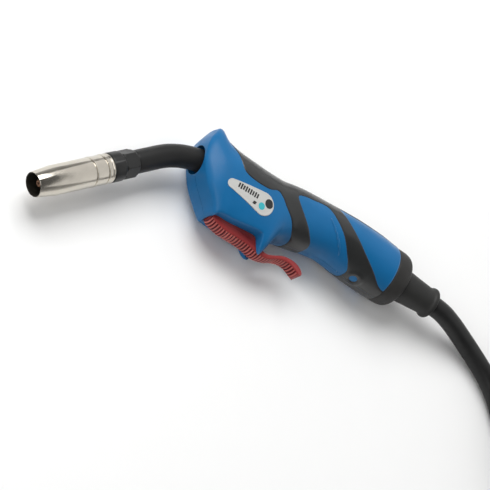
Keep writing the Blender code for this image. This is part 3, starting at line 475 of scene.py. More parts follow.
def coil_route():
    """Three turns winding inwards on the surface and three winding out again on top of them."""
    inner = COIL_RADIUS - TURN_PITCH
    stations = [(OUTER_TURN, 0), (COIL_RADIUS, 0), (inner, 0), (inner, 1), (COIL_RADIUS, 1), (OUTER_TURN, 1)]
    moves = [radians(m) for m in (64, 64, 44, 64, 64)]
    ends = [radians(207)]
    for move in moves[:-1]:
        ends.append(ends[-1] - move + 2 * pi)  # each turn has moved over before the one behind it does
    start, end = LEAD_ANGLE, 10 * pi - pi / 2
    count = 264
    points = []
    for i in range(1, count + 1):
        angle = start + (end - start) * i / count
        radius, level = stations[0]
        for move, finish, here, after in zip(moves, ends, stations[:-1], stations[1:]):
            share = clamp((angle - finish) / move + 1)
            share = 2 * share**2 if share < 0.5 else 1 - 2 * (1 - share) ** 2
            radius += (after[0] - here[0]) * share
            level += (after[1] - here[1]) * share
        points.append(COIL_CENTRE + Vector((radius * cos(angle), radius * sin(angle),
                                            COIL_BASE + TURN_PITCH * level)))
    return points


def tail_route():
    end = PLUG_START - COIL_CENTRE - Vector((0, GAP, 0))
    route = [(0, -OUTER_TURN, 2.5), (13.0, -88.1, 2.5), (26.0, -88.1, 2.3), (39.0, -88.1, 0.3),
             (52.0, -88.0, -3.8), (64.8, -86.0, -7.9), (77.0, -81.5, -9.9), (88.1, -74.7, -9.8),
             (97.6, -65.9, -8.0), (105.2, -55.4, -4.5), (110.6, -43.6, -0.2), (113.6, -30.9, 2.6),
             (end.x, end.y - 6.0, end.z), end]
    return smooth_path([COIL_CENTRE + Vector(p) for p in route], 4)[1:]


def make_cable():
    points = [at(p) for p in lead_route() + coil_route() + tail_route()]
    curve = bpy.data.curves.new("cable", "CURVE")
    curve.dimensions = "3D"
    curve.bevel_depth = CABLE_RADIUS * MM
    curve.bevel_resolution = 7
    curve.use_fill_caps = True
    spline = curve.splines.new("POLY")
    spline.points.add(len(points) - 1)
    for place, point in zip(spline.points, points):
        place.co = (*point, 1.0)
    curve.materials.append(FINISHES["cable"])
    made = stand("cable", curve)
    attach(made, "cable_end")
    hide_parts("torch_cable", "cable_coil", "plug_lead")
    length = sum((b - a).length for a, b in zip(points[:-1], points[1:]))
    return made, points[0], length


def strap_mesh(angle):
    """A woven strap drawn round the bundle, rounded at the corners, with its loose end laid over itself."""
    outer, inner = OUTER_TURN + CABLE_RADIUS, COIL_RADIUS - TURN_PITCH - CABLE_RADIUS
    low, high = COIL_BASE - CABLE_RADIUS, COIL_BASE + TURN_PITCH + CABLE_RADIUS
    outward = Vector((cos(angle), sin(angle), 0))
    along = Vector((-sin(angle), cos(angle), 0))
    mid, rise = (outer + inner) / 2, (low + high) / 2
    half, tall = (outer - inner) / 2 + 0.35, (high - low) / 2 + 0.35
    corner = CABLE_RADIUS
    loop = []
    for cx, cy, first in ((1, 1, 0), (-1, 1, 90), (-1, -1, 180), (1, -1, 270)):
        for step in range(9):
            turn = radians(first + 90 * step / 8)
            loop.append((mid + cx * (half - corner) + corner * cos(turn),
                         rise + cy * (tall - corner) + corner * sin(turn), turn))
    points = []
    width = 10.0                                  # half the strap's width
    section = ((-width, 0.0), (-width + 0.3, 0.75), (width - 0.3, 0.75), (width, 0.0))
    for out, z, turn in loop:
        for shift, thick in section:
            drawn = shift * (1 - 0.03 * sin(5 * turn))
            points.append(COIL_CENTRE + along * drawn + outward * (out + thick * cos(turn))
                          + Vector((0, 0, z + thick * sin(turn))))
    band = mesh_from(points, grid_faces(len(loop), len(section), wrap_rows=True))
    flap = []
    drops = np.linspace(0.75, -0.45, 12)
    for t in drops:
        for shift, thick in ((-8.5, 0.8), (-8.2, 1.5), (8.2, 1.5), (8.5, 0.8)):
            flap.append(COIL_CENTRE + along * shift + outward * (mid + half + thick - 0.6)
                        + Vector((0, 0, rise + t * (tall - corner))))
    return joined(band, mesh_from(flap, grid_faces(len(drops), 4) + end_faces(4, len(flap))))


# ---------------- the handle's outer surface

FRONT_X = -149.0
FRONT_HEIGHTS = (-37.0, -34.5, -31.0, -26.5, -19.0, -13.5, -8.0, -3.0, 4.0, 10.5, 15.0, 20.0, 24.4)
FRONT_REACH = (-128.0, -131.0, -133.0, -136.2, -141.8, -145.0, -147.3, -148.6, -149.0, -148.0, -146.2,
               -143.8, -141.2)
# place, share of the front's curve, top, bottom, half width, widest level, squareness
SECTIONS = np.array((
    (-149.0, 1.00, 24.3, -40.0, 11.6, -6.0, 2.7), (-143.5, 0.80, 21.0, -40.0, 14.4, -6.0, 2.5),
    (-136.0, 0.55, 16.8, -40.0, 16.6, -6.0, 2.35), (-127.0, 0.25, 14.4, -40.0, 17.9, -6.0, 2.3),
    (-117.0, 0.06, 13.6, -40.5, 18.3, -6.0, 2.3), (-105.0, 0.00, 13.2, -42.0, 18.0, -6.0, 2.3),
    (-93.0, 0.00, 13.6, -43.6, 17.5, -5.5, 2.3), (-84.0, 0.00, 15.2, -27.0, 17.1, -3.5, 2.4),
    (-76.0, 0.00, 16.8, -22.0, 16.9, -2.2, 2.35), (-66.0, 0.00, 18.1, -19.9, 16.9, -0.6, 2.2),
    (-55.0, 0.00, 19.1, -17.4, 17.0, 0.8, 2.1), (-45.0, 0.00, 19.9, -16.0, 17.3, 1.9, 2.05),
    (-31.0, 0.00, 20.7, -17.1, 18.0, 1.8, 2.0), (-15.0, 0.00, 20.3, -18.3, 18.5, 1.0, 2.0),
    (0.0, 0.00, 18.6, -18.6, 18.6, 0.0, 2.0)))
LOWER_OUTLINE = flat_path((
    (-136.2, -28.0), (-133.4, -32.4), (-131.2, -34.8), (-129.4, -35.0), (-127.6, -33.2), (-124.0, -32.7),
    (-117.0, -32.6), (-105.0, -31.2), (-98.4, -30.9),
    (-96.4, -32.4), (-94.4, -37.6), (-92.2, -41.2), (-90.0, -41.0), (-88.8, -37.0), (-87.8, -31.0),
    (-85.2, -26.4), (-80.0, -24.2), (-72.0, -24.5)), closed=False) + [(-60.0, -30.0)]
GRIP_EDGE = ((-137.4, 24.0), (-134.4, 14.0), (-129.6, 7.0), (-126.6, 1.5), (-122.8, -3.2), (-115.0, -5.0),
             (-104.0, -4.4), (-97.6, -1.8), (-93.0, -4.0), (-88.6, -8.2), (-83.0, -12.6), (-77.6, -18.0),
             (-71.4, -23.0), (-67.0, -32.0))
# where the blue shell shows through the grip
PATCH_TWO = ((-82.0, 3.2), (-77.4, 6.6), (-70.0, 8.0), (-62.0, 9.6), (-57.0, 8.6), (-50.0, 3.0),
             (-43.6, -2.8), (-37.0, -9.6), (-31.6, -14.0), (-27.6, -17.6), (-32.0, -22.0), (-44.0, -26.0),
             (-58.0, -26.0), (-63.0, -22.0), (-59.4, -17.6), (-65.6, -13.0), (-74.6, -5.6))
PATCH_THREE = ((-48.6, 15.0), (-43.0, 15.7), (-20.0, 15.9), (-2.0, 15.3), (4.0, 10.0), (5.0, -8.0),
               (2.0, -15.6), (-4.4, -16.0), (-12.6, -12.4), (-24.4, -5.8), (-34.8, 1.8), (-43.4, 9.2))
LABEL_BROAD = (-104.6, -15.4, 7.4)            # the name plate's two ends: x, y, radius
LABEL_NARROW = (-129.0, -14.6, 3.0)
WINDOW = (-20.8, 3.6, 2.6)                    # the round opening underneath: x, z, radius
SCREWS = ((-130.5, -19.5), (-73.0, -12.5), (-25.0, -10.8))
FRONT_SQUARENESS = 0.6                        # how much squarer the upper half is at the front
RIDGE = 5.0                                   # how far back the front ridge's rounding reaches
GRIP_ROLL = 0.8                               # width of the grip's rolled edge
GRIP_SUNK, GRIP_PROUD = -0.12, 0.3            # the skin's height at its edge and inside it
PRINT_LIFT = 0.36                             # how far the plate's print stands off the shell
SCREW_BORE = 2.9
SCREW_WELL = 3.3                              # radius of the grip's openings over the screws
PIVOT_BORE = 1.45                             # hole for the lever's pin


def front_reach(height):
    return smooth_value(FRONT_HEIGHTS, FRONT_REACH, height)


def section_at(place):
    """The handle's section at a place: the columns of SECTIONS, less the front ridge's rounding."""
    share, top, bottom, half, level, power = (
        smooth_value(SECTIONS[:, 0], column, place) for column in SECTIONS.T[1:])
    near = np.clip(1 - (place - FRONT_X) / RIDGE, 0, 1)
    drop = 1 - np.sqrt(1 - near**2)
    return share, top - 2.8 * drop, bottom, half - 1.5 * drop, level, power


def body_points(places, around):
    """Rows of points round the handle at each place, the underside drawn level with the lower outline."""
    places = np.asarray(places, float)[:, None]
    angle = 2 * pi * (np.arange(around) + 0.5)[None, :] / around
    share, top, bottom, half, level, power = section_at(places)
    up, out = np.sin(angle), np.cos(angle)
    height = np.where(up > 0, top - level, level - bottom)
    power = power + np.where(up > 0, FRONT_SQUARENESS, 0) * np.clip(1 - (places - FRONT_X) / 14, 0, 1)
    y = level + np.sign(up) * height * np.abs(up) ** (2 / power)
    z = np.sign(out) * half * np.abs(out) ** (2 / power)
    x = places + share * (front_reach(y) - FRONT_X)
    lower = np.interp(x, [p[0] for p in LOWER_OUTLINE], [p[1] for p in LOWER_OUTLINE])
    soft = 0.35 + 0.45 * np.clip((-125.0 - x) / 5.0, 0, 1)
    y = np.where(y < lower + 8, 0.5 * (y + lower + np.sqrt((y - lower) ** 2 + 4 * soft**2)), y)
    return np.stack([x, y, z], axis=2)


def cheek_height(x, y):
    """How far out the left cheek stands at a side-view point."""
    place = np.asarray(x, float)
    for _ in range(12):
        share = section_at(place)[0]
        place = x - share * (front_reach(y) - FRONT_X)
    _, top, bottom, half, level, power = section_at(place)
    height = np.where(y > level, top - level, level - bottom)
    return half * np.clip(1 - (np.abs(y - level) / height) ** power, 0, 1) ** (1 / power)


def cheek_point(x, y, lift):
    """A point of the left cheek, lifted along the cheek's normal."""
    step = 0.2
    z = float(cheek_height(x, y))
    slope_x = (float(cheek_height(x + step, y)) - z) / step
    slope_y = (float(cheek_height(x, y + step)) - z) / step
    return Vector((x, y, z)) + Vector((-slope_x, -slope_y, 1)).normalized() * lift


def body_mesh(around=176):
    places = np.concatenate([FRONT_X + RIDGE * (1 - np.cos(np.linspace(0, pi / 2, 11)))[:-1],
                             np.arange(FRONT_X + RIDGE, -100.0, 0.9), np.arange(-100.0, -84.0, 0.4),
                             np.arange(-84.0, -0.6, 1.0), [-0.1]])
    rows = body_points(places, around)
    points = [Vector(p) for p in rows.reshape(-1, 3)]
    faces = grid_faces(len(places), around)
    half = around // 2
    quarter = around // 4
    across = 17
    front = []                                    # the front face, drawn across between the two cheeks
    for i in range(half):
        left = Vector(rows[0, (quarter + i) % around])
        right = Vector(rows[0, (quarter - 1 - i) % around])
        for k in range(across):
            share = k / (across - 1)
            point = left.lerp(right, share)
            crown = 1 - (2 * share - 1) ** 2
            point.x -= 0.9 * crown * min(1.0, abs(left.z) / 6.0)
            front.append(point)
    first = len(points)
    points += front
    faces += [tuple(first + i for i in face) for face in grid_faces(half, across, wrap_columns=False)]
    last = (len(places) - 1) * around
    left, right = ([last + (quarter + i) % around for i in range(half)],
                   [last + (quarter - 1 - i) % around for i in range(half)])
    faces += [(left[i], left[i + 1], right[i + 1], right[i]) for i in range(half - 1)]
    return mesh_from(points, faces, merge=0.012)


def applied(mesh, cutters):
    """The mesh with each cutter taken away from it."""
    target = stand("target", mesh)
    helpers = []
    for cutter in cutters:
        helper = stand("cutter", cutter)
        change = target.modifiers.new("cut", "BOOLEAN")
        change.operation = "DIFFERENCE"
        change.solver = "EXACT"
        change.object = helper
        helpers.append(helper)
    graph = bpy.context.evaluated_depsgraph_get()
    out = bpy.data.meshes.new_from_object(target.evaluated_get(graph))
    for each in helpers + [target]:
        bpy.data.objects.remove(each, do_unlink=True)
    return out


def half_of(mesh, side, seam=0.1, level=0.0, closed=False):
    """The part of a mesh above or below a level plane; side is 1 or -1."""
    shape = shape_of(mesh)
    found = bmesh.ops.bisect_plane(
        shape, geom=list(shape.verts) + list(shape.edges) + list(shape.faces), dist=1e-4,
        plane_co=(0, 0, level + side * seam), plane_no=(0, 0, side), clear_inner=True)
    if closed:
        edges = [e for e in found["geom_cut"] if isinstance(e, bmesh.types.BMEdge)]
        bmesh.ops.holes_fill(shape, edges=edges)
    return mesh_of(shape)


def split_at(shape, field, level):
    """Cuts faces along the line where a vertex field has the given value."""
    near = 0.03
    for vert in shape.verts:
        if abs(vert[field] - level) < near:
            vert[field] = level
    touched = {}                                  # faces in a fixed order, so each run gives the same mesh
    for edge in list(shape.edges):
        a, b = edge.verts
        low, high = a[field] - level, b[field] - level
        if low * high < 0:
            _, made = bmesh.utils.edge_split(edge, a, low / (low - high))
            made[field] = level
            touched.update(dict.fromkeys(made.link_faces))
    for face in touched:
        on = [v for v in face.verts if v[field] == level]
        if len(on) == 2 and not any(set(e.verts) == set(on) for e in face.edges):
            bmesh.utils.face_split(face, on[0], on[1])


def grip_field(points):
    """Negative where the soft grip covers the handle."""
    side = points[:, :2]
    edge = flat_path(GRIP_EDGE, closed=False) + [(20, -32), (20, 40), (-133.4, 40)]
    field = outline_distance(side, edge)
    for patch in (PATCH_TWO, PATCH_THREE):
        field = np.maximum(field, -outline_distance(side, flat_path(patch)))
    x, z, radius = WINDOW
    below = points[:, 1] < -6
    hole = radius - np.hypot(points[:, 0] - x, points[:, 2] - z)
    field = np.where(below, np.maximum(field, hole), field)
    right = points[:, 2] < 0
    for sx, sy in SCREWS[1:]:
        well = SCREW_WELL - np.hypot(points[:, 0] - sx, points[:, 1] - sy)
        field = np.where(right, np.maximum(field, well), field)
    return field


def grip_mesh(whole):
    """The soft skin: the handle's surface inside the grip's outline, raised, with a rolled edge."""
    shape = shape_of(whole)
    field = shape.verts.layers.float.new("field")
    points = np.array([v.co for v in shape.verts])
    values = np.round(grip_field(points), 4)
    for vert, value in zip(shape.verts, values):
        vert[field] = value
    for level in (0.0, -0.25, -GRIP_ROLL):
        split_at(shape, field, level)
    shape.normal_update()
    x, z, _ = WINDOW
    lifts = []
    for vert in shape.verts:
        share = clamp(-vert[field] / GRIP_ROLL)
        lift = GRIP_SUNK + (GRIP_PROUD - GRIP_SUNK) * sqrt(1 - (1 - share) ** 2)
        if vert.co.y < -6:
            ring = hypot(vert.co.x - x, vert.co.z - z)
            lift += 0.75 * exp(-((ring - 4.6) / 1.3) ** 2)
        lifts.append(vert.co + vert.normal * lift)
    front = [f for f in shape.faces if f.calc_center_median().x > -0.3]
    outside = [f for f in shape.faces if sum(v[field] for v in f.verts) / len(f.verts) > -1e-6]
    for vert, place in zip(shape.verts, lifts):
        vert.co = place
    bmesh.ops.delete(shape, geom=list(dict.fromkeys(outside + front)), context="FACES")
    return mesh_of(shape)


def cylinder(radius, start, end, base, axis, steps=40):
    return lathe([(start, 0), (start, radius), (end, radius), (end, 0)], base, axis, steps, ease=0)


def bar_mesh(a, b, half_wide, tall):
    """A moulded bar that follows the cheek between two side-view points."""
    along = (b - a).normalized()
    across = Vector((-along.y, along.x))
    points = []
    rows, columns = 13, 7
    for i in range(rows):
        t = i / (rows - 1)
        end = sqrt(max(0.0, 1 - abs(2 * t - 1) ** 6))
        for k in range(columns):
            s = 2 * k / (columns - 1) - 1
            spot = a.lerp(b, t) + across * s * half_wide * max(end, 0.15)
            points.append(cheek_point(spot.x, spot.y, tall * sqrt(max(0.0, 1 - s * s)) * end - 0.05))
    return mesh_from(points, grid_faces(rows, columns, wrap_columns=False))


def make_handle():
    whole = body_mesh()
    entry = neck_point(NECK_END - 16.0)
    cutters = [box_mesh((SLOT_FRONT, -60, -SLOT_HALF), (SLOT_REAR, SLOT_CEILING, SLOT_HALF)),
               cylinder(9.4, -14, 14, entry, (1, 0.26, 0)),
               cylinder(PIVOT_BORE, -9, 9, PIVOT, (0, 0, 1), 24)]
    cutters += [cylinder(SCREW_BORE, -30, -9.9, (x, y, 0), (0, 0, 1), 32) for x, y in SCREWS]
    hollowed = applied(whole.copy(), cutters)
    step = Vector((3.4, -3.0))
    marks = [bar_mesh(Vector((-56.5, 3.2)) + step * k, Vector((-49.5, -4.2)) + step * k, 0.6, 0.6)
             for k in range(4)]
    for side, word in ((1, "left"), (-1, "right")):
        half = half_of(hollowed, side)
        if side > 0:
            half = joined(half, *marks)
        piece(f"{word}_handle_shell", half, "blue", "handle", f"{word}_shell", sharp=38)
    skin = grip_mesh(whole)
    for side, word in ((1, "left"), (-1, "right")):
        piece(f"{word}_soft_grip", half_of(skin, side, 0.08), "grip", "handle", f"{word}_grip", sharp=50)


def label_ring(scale, steps=48, along=18):
    """The teardrop's outline drawn in towards its centre line, with points along its straight sides."""
    (bx, by, broad), (nx, ny, narrow) = LABEL_BROAD, LABEL_NARROW
    heading = atan2(ny - by, nx - bx)
    lean = acos((broad - narrow) / hypot(nx - bx, ny - by))
    ring = []
    for cx, cy, radius, start, sweep, count in (
            (bx, by, broad, heading + lean, 2 * pi - 2 * lean, steps),
            (nx, ny, narrow, heading - lean, 2 * lean, steps // 2)):
        arc = [(cx + radius * scale * cos(start + sweep * i / count),
                cy + radius * scale * sin(start + sweep * i / count)) for i in range(count + 1)]
        if ring:
            ring += straight(ring[-1], arc[0], along)
        ring += arc
    return ring + straight(ring[-1], ring[0], along)


def straight(a, b, count):
    """Points between two ends, without the ends."""
    return [(a[0] + (b[0] - a[0]) * i / count, a[1] + (b[1] - a[1]) * i / count) for i in range(1, count)]


def make_label():
    rows = [(1.0, -0.1), (1.0, 0.2), (0.985, 0.32), (0.95, 0.38), (0.90, 0.38), (0.88, 0.33), (0.7, 0.33),
            (0.45, 0.33), (0.2, 0.33), (0.0, 0.33)]
    rings = [label_ring(scale) for scale, _ in rows]
    points = [cheek_point(x, y, lift) for (_, lift), ring in zip(rows, rings) for x, y in ring]
    plate = mesh_from(points, grid_faces(len(rows), len(rings[0])))
    piece("name_plate", plate, "white", "handle", "label_plate", sharp=60)
    prints = []
    for k in range(9):
        x = -125.2 + 1.75 * k
        tall = 1.75 if k % 2 else 1.45
        prints.append(print_mesh([(x, -13.6 - tall), (x + 1.15, -13.6 - tall), (x + 1.45, -13.4 + tall),
                                  (x + 0.3, -13.4 + tall)]))
    prints.append(print_mesh([(-112.4, -19.2), (-110.2, -19.2), (-109.6, -17.2), (-111.8, -17.2)]))
    prints.append(print_mesh(disc_outline(-101.2, -13.6, 3.0)))
    piece("plate_marks", joined(*prints), "ink", "handle")
    piece("plate_dots", print_mesh(disc_outline(-105.6, -17.6, 2.3)), "teal", "handle")


def disc_outline(x, y, radius, steps=28):
    return [(x + radius * cos(t), y + radius * sin(t))
            for t in np.linspace(0, 2 * pi, steps, endpoint=False)]


def print_mesh(outline):
    """A printed mark: a thin flat shape just above the name plate."""
    centre = (sum(p[0] for p in outline) / len(outline), sum(p[1] for p in outline) / len(outline))
    points = [cheek_point(x, y, PRINT_LIFT) for x, y in [centre, *outline]]
    count = len(outline)
    faces = [(0, 1 + i, 1 + (i + 1) % count) for i in range(count)]
    return mesh_from(points, faces)


def make_screws():
    for number, (x, y) in enumerate(SCREWS, 1):
        profile = [(-12.4, 0), (-12.4, 1.9), (-12.1, 2.4), (-11.4, 2.6), (-10.2, 2.6), (-10.2, 1.2),
                   (7.2, 1.2), (8.4, 0.3), (8.4, 0)]
        body = lathe(profile, (x, y, 0), (0, 0, 1), 40, ease=0.15)
        cross = [box_mesh((x - 1.5, y - 0.3, -12.6), (x + 1.5, y + 0.3, -11.3)),
                 box_mesh((x - 0.3, y - 1.5, -12.6), (x + 0.3, y + 1.5, -11.3))]
        piece(f"case_screw_{number}", applied(body, cross), "steel", "handle", f"shell_screw_{number}")


# ---------------- trigger and switch

TRIGGER_UNDER = ((-128.6, -34.4), (-126.8, -37.4), (-118.0, -39.6), (-107.0, -39.6), (-99.5, -40.0),
                 (-95.5, -40.8), (-91.5, -41.4), (-87.0, -40.8), (-82.0, -39.2), (-77.0, -36.4),
                 (-72.0, -34.8), (-67.0, -34.8), (-63.0, -36.4), (-60.4, -37.6))
TRIGGER_OVER = ((-58.2, -37.0), (-57.8, -34.8), (-60.2, -32.2), (-64.4, -30.6), (-69.0, -30.4),
                (-74.0, -31.4), (-79.0, -33.8), (-84.0, -36.0), (-87.6, -36.4))
RIB_PITCH = 2.1
RIB_HEIGHT = 0.85
LEVER_CROWN, TAIL_CROWN = 2.2, 1.2                # how far the underside bulges


def lever_half(x):
    return TRIGGER_HALF + (TAIL_HALF - TRIGGER_HALF) * clamp((x + 90.0) / 6.0)


def lever_crown(x, share):
    """How far the underside has risen from its middle line towards the edge."""
    return (LEVER_CROWN + (TAIL_CROWN - LEVER_CROWN) * clamp((x + 91.0) / 6.0)) * abs(share) ** 2.4


def make_trigger():
    """The lever: a crowned, ribbed underside, smooth sides and a curled tail."""
    under = smooth_path([(x, y, 0) for x, y in TRIGGER_UNDER], 36)
    over = smooth_path([(x, y, 0) for x, y in TRIGGER_OVER], 8)
    web = [Vector(p) for p in ((-90.4, -35.4, 0), (-91.2, -29.6, 0), (-91.8, -28.9, 0), (-121.6, -28.9, 0),
                               (-123.2, -28.0, 0), (-126.0, -28.0, 0), (-127.8, -29.4, 0))]
    directions = tangents(under)
    lengths = np.concatenate([[0], np.cumsum([(b - a).length for a, b in zip(under[:-1], under[1:])])])
    layers = []
    shares = (-1.0, -0.97, -0.90, -0.84, -0.78, -0.5, -0.2, 0.2, 0.5, 0.78, 0.84, 0.90, 0.97, 1.0)
    for share in shares:
        layer = []
        ribbed = clamp((0.93 - abs(share)) / 0.12)
        edge = clamp((abs(share) - 0.9) / 0.1)
        rounding = 0.35 * edge**2
        for point, along, length in zip(under, directions, lengths):
            rise = lever_crown(point.x, share) + rounding
            outward = Vector((along.y, -along.x, 0))
            plain = clamp(length - 0.8) * clamp((lengths[-1] - 0.8 - length) / 1.5)
            between = clamp(abs(point.x + 84.5) - 5.0)
            wave = 0.5 + 0.5 * cos(2 * pi * length / RIB_PITCH)
            lift = RIB_HEIGHT * (wave**0.7 - 0.75) * ribbed * plain * (0.25 + 0.75 * between)
            layer.append(Vector((point.x, point.y + rise, lever_half(point.x) * share)) + outward * lift)
        inset = 1 - 0.04 * edge
        for point in over:
            layer.append(Vector((point.x, point.y - 0.8 * rounding, lever_half(point.x) * share * inset)))
        layer += [Vector((p.x, p.y, lever_half(p.x) * share)) for p in web]
        layers.append(layer)
    count = len(layers[0])
    points = [p for layer in layers for p in layer]
    lever = mesh_from(points, grid_faces(len(layers), count) + end_faces(count, len(points)))
    lever = applied(lever, [cylinder(PIVOT_BORE, -20, 20, PIVOT, (0, 0, 1), 24)])
    # Rib crests get the lighter red (wear plus painted highlight) and rib troughs the darker red (painted
    # shade)
    line = np.array([(p.x, p.y) for p in under])
    for face in lever.polygons:
        spot = face.center
        share = abs(spot.z) / lever_half(spot.x)
        apart = np.hypot(line[:, 0] - spot.x, line[:, 1] + lever_crown(spot.x, share) - spot.y)
        nearest = int(apart.argmin())
        if share > 0.9 or apart[nearest] > 1.0 or nearest < 8 or nearest > len(line) - 8:
            continue
        wave = cos(2 * pi * lengths[nearest] / RIB_PITCH)
        face.material_index = 1 if wave > 0.25 else 2 if wave < -0.45 else 0
    piece("trigger_lever_arm", lever, ("red", "red_worn_and_lit", "red_trough_shade"), "trigger_lever", "trigger", sharp=40)


def make_switch():
    pin = [(-8.6, 0), (-8.6, 1.0), (-8.3, 1.3), (8.3, 1.3), (8.6, 1.0), (8.6, 0)]
    piece("lever_pin", lathe(pin, PIVOT, (0, 0, 1), 32, ease=0.1), "steel", "handle", "trigger_pin")
    case = applied(box_mesh((-117.0, -26.4, -3.2), (-99.5, -16.6, 3.2), 0.5),
                   [box_mesh((-105.9, -30, -1.7), (-102.1, -21.0, 1.7))])
    piece("switch_case", case, "black", "handle", "switch_body")
    piece("switch_button_cap", box_mesh((-105.5, -28.6, -1.3), (-102.5, -23.6, 1.3), 0.45), "steel",
          "switch_button", "switch_plunger")
    coil = [Vector((-94.0 + 2.4 * cos(turn), -28.0 + 6.6 * turn / (8 * pi), 2.4 * sin(turn)))
            for turn in np.linspace(0, 8 * pi, 129)]
    spring = piece("lever_spring", tube(coil, [0.4] * len(coil), 12), "steel", "handle", "trigger_spring")
    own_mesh(spring)
    lead = smooth_path([(-103, -16.2, 0), (-102, -14.2, 0), (-97, -12.4, 0.6), (-88, -10.8, 3.0),
                        (-80, -7.6, 8.0), (-70, -5.6, 9.6), (-40, -5.0, 9.8), (-14, -5.0, 9.8)], 4)
    piece("switch_wires", tube(lead, [1.4] * len(lead), 14), "cable", "handle", "switch_lead")


# ---------------- neck and nozzle

def make_nozzle():
    """A slide-off gas nozzle: a thin-lipped mouth, a short cone and a barrel with two turned grooves."""
    mouth, barrel, wall = 7.5, 9.0, 1.2
    profile = [(0.0, mouth - 0.75, 0.1), (0.0, mouth - 0.15, 0.15), (0.25, mouth, 0.15),
               (4.0, mouth + 0.52, 2.0), (13.0, barrel, 1.2)]
    for groove in (40.2, 49.1):
        profile += [(groove - 0.75, barrel, 0.1), (groove - 0.55, barrel - 0.55, 0.1),
                    (groove + 0.1, barrel - 0.55, 0.1), (groove + 0.3, barrel + 0.12, 0.12),
                    (groove + 0.75, barrel + 0.12, 0.12), (groove + 0.95, barrel, 0.1)]
    profile += [(51.6, barrel, 0.2), (52.0, barrel - 0.35, 0.1), (52.5, barrel - 0.35, 0.1),
                (52.8, barrel, 0.15), (53.6, barrel, 0.3), (54.0, barrel - 0.4, 0.2),
                (54.0, barrel - wall, 0.1), (14.0, barrel - wall, 1.0), (6.0, mouth - 0.6, 1.0)]
    barrel_mesh = lathe(profile, neck_point(0), BACK, 128)
    for face in barrel_mesh.polygons:             # soot on the rim of the mouth; in the bore soot plus painted shade
        spot = face.center - neck_point(0)
        out = (spot - BACK * spot.dot(BACK)).normalized()
        face.material_index = int(face.normal.dot(out) < (0.35 if spot.dot(BACK) < 0.3 else -0.5))
    piece("nozzle_barrel", barrel_mesh, ("nickel", "soot_and_shade"), "nozzle", "gas_nozzle", sharp=22)


def make_tip():
    base = neck_point(0)
    tip = [(3.5, 0.7), (3.5, 1.9), (4.2, 2.4), (6.8, 4.0), (24.0, 4.0), (24.2, 3.6), (25.0, 3.6), (25.2, 4.0),
           (26.0, 3.9), (26.6, 3.0), (32.0, 3.0), (32.0, 0.7)]
    piece("wire_tip", lathe(tip, base, BACK, 64, ease=0.2), "tip", "handle", "contact_tip")
    holder = [(27.0, 3.3), (27.0, 4.6), (27.6, 5.1), (31.0, 5.4), (31.4, 5.0), (32.0, 5.0), (32.4, 5.4),
              (45.0, 5.4), (45.0, 4.4), (52.0, 4.4), (52.0, 1.8), (33.0, 1.8), (33.0, 3.3)]
    ports = [cylinder(0.9, 3.6, 7.0, base + BACK * 36.5, spoke(BACK, radians(60 * k)), 16)
             for k in range(6)]
    piece("tip_seat", applied(lathe(holder, base, BACK, 64, ease=0.2), ports), "brass", "handle",
          "tip_holder")
    coil = [neck_point(32.0 + 8.0 * t) + spoke(BACK, 2 * pi * 3 * t) * 6.6
            for t in np.linspace(0, 1, 145)]
    piece("nozzle_catch_spring", tube(coil, [0.6] * len(coil), 12), "steel", "handle", "nozzle_spring")


def spoke(axis, angle):
    side, up = frame_on(axis)
    return side * cos(angle) + up * sin(angle)


def make_neck():
    base = neck_point(0)
    half_flats, hex_start = 7.8, 62.9

    def hexed(along, radius, angle):
        if along < hex_start or radius < 6.0:
            return radius
        return min(half_flats / cos(angle % (pi / 3) - pi / 6), radius)

    nut = [(46.0, 5.3), (46.0, 7.3), (54.3, 7.3), (54.3, 8.7, 0.1), (54.9, 9.1, 0.3), (61.9, 9.1, 0.4),
           (62.5, 8.6, 0.2), (hex_start, 8.0, 0.05), (63.1, 8.4, 0.05), (63.9, 8.9, 0.1), (71.9, 8.9, 0.1),
           (73.0, 8.0, 0.1), (73.0, 5.3)]
    piece("collar_nut", lathe(nut, base, BACK, 180, reach=hexed, ease=0.2), "black", "handle", "neck_nut",
          sharp=25)
    run = [neck_point(b) for b in np.linspace(52.3, NECK_END + 20.0, 60)]
    piece("gas_tube", tube(run, [5.0] * len(run), 32), "copper", "handle", "neck_tube")
    backs = np.linspace(73.3, NECK_END + 4.0, 90)
    radii = [7.2 - 0.35 * max(0.0, 1 - (b - 73.3) / 1.2) ** 2 for b in backs]
    piece("neck_cover", tube([neck_point(b) for b in backs], radii, 64), "neck", "handle", "neck_sleeve")
    start = Vector((NECK_ENTRY.x + 4.3, NECK_ENTRY.y, 0))
    socket = [(0, 5.3), (0, 8.0), (1, 9.0), (8, 9.0), (9, 8.0), (24, 8.0), (24, 2.2), (20, 2.2), (20, 5.3)]
    piece("neck_clamp_socket", lathe(socket, start, (1, 0, 0), 48), "brass", "handle", "neck_socket")
    crimp = [(0, 2.2), (0, 7.0), (9, 7.0), (10, 5.0), (13, 5.0), (13.4, 4.6), (14.6, 4.6), (15, 5.0),
             (22, 5.0), (22, 2.2)]
    piece("power_crimp", lathe(crimp, start + Vector((24.3, 0, 0)), (1, 0, 0), 48), "brass", "handle",
          "cable_crimp")
    inner = start.x + 24.3 + 22.3
    core = [(0, 0), (0, CABLE_RADIUS), (-11.0 - inner, CABLE_RADIUS), (-11.0 - inner, 0)]
    piece("inner_cable", lathe(core, (inner, NECK_ENTRY.y / 2, 0), (1, 0, 0), 48), "cable", "handle",
          "handle_cable")


# ---------------- the handle's rear

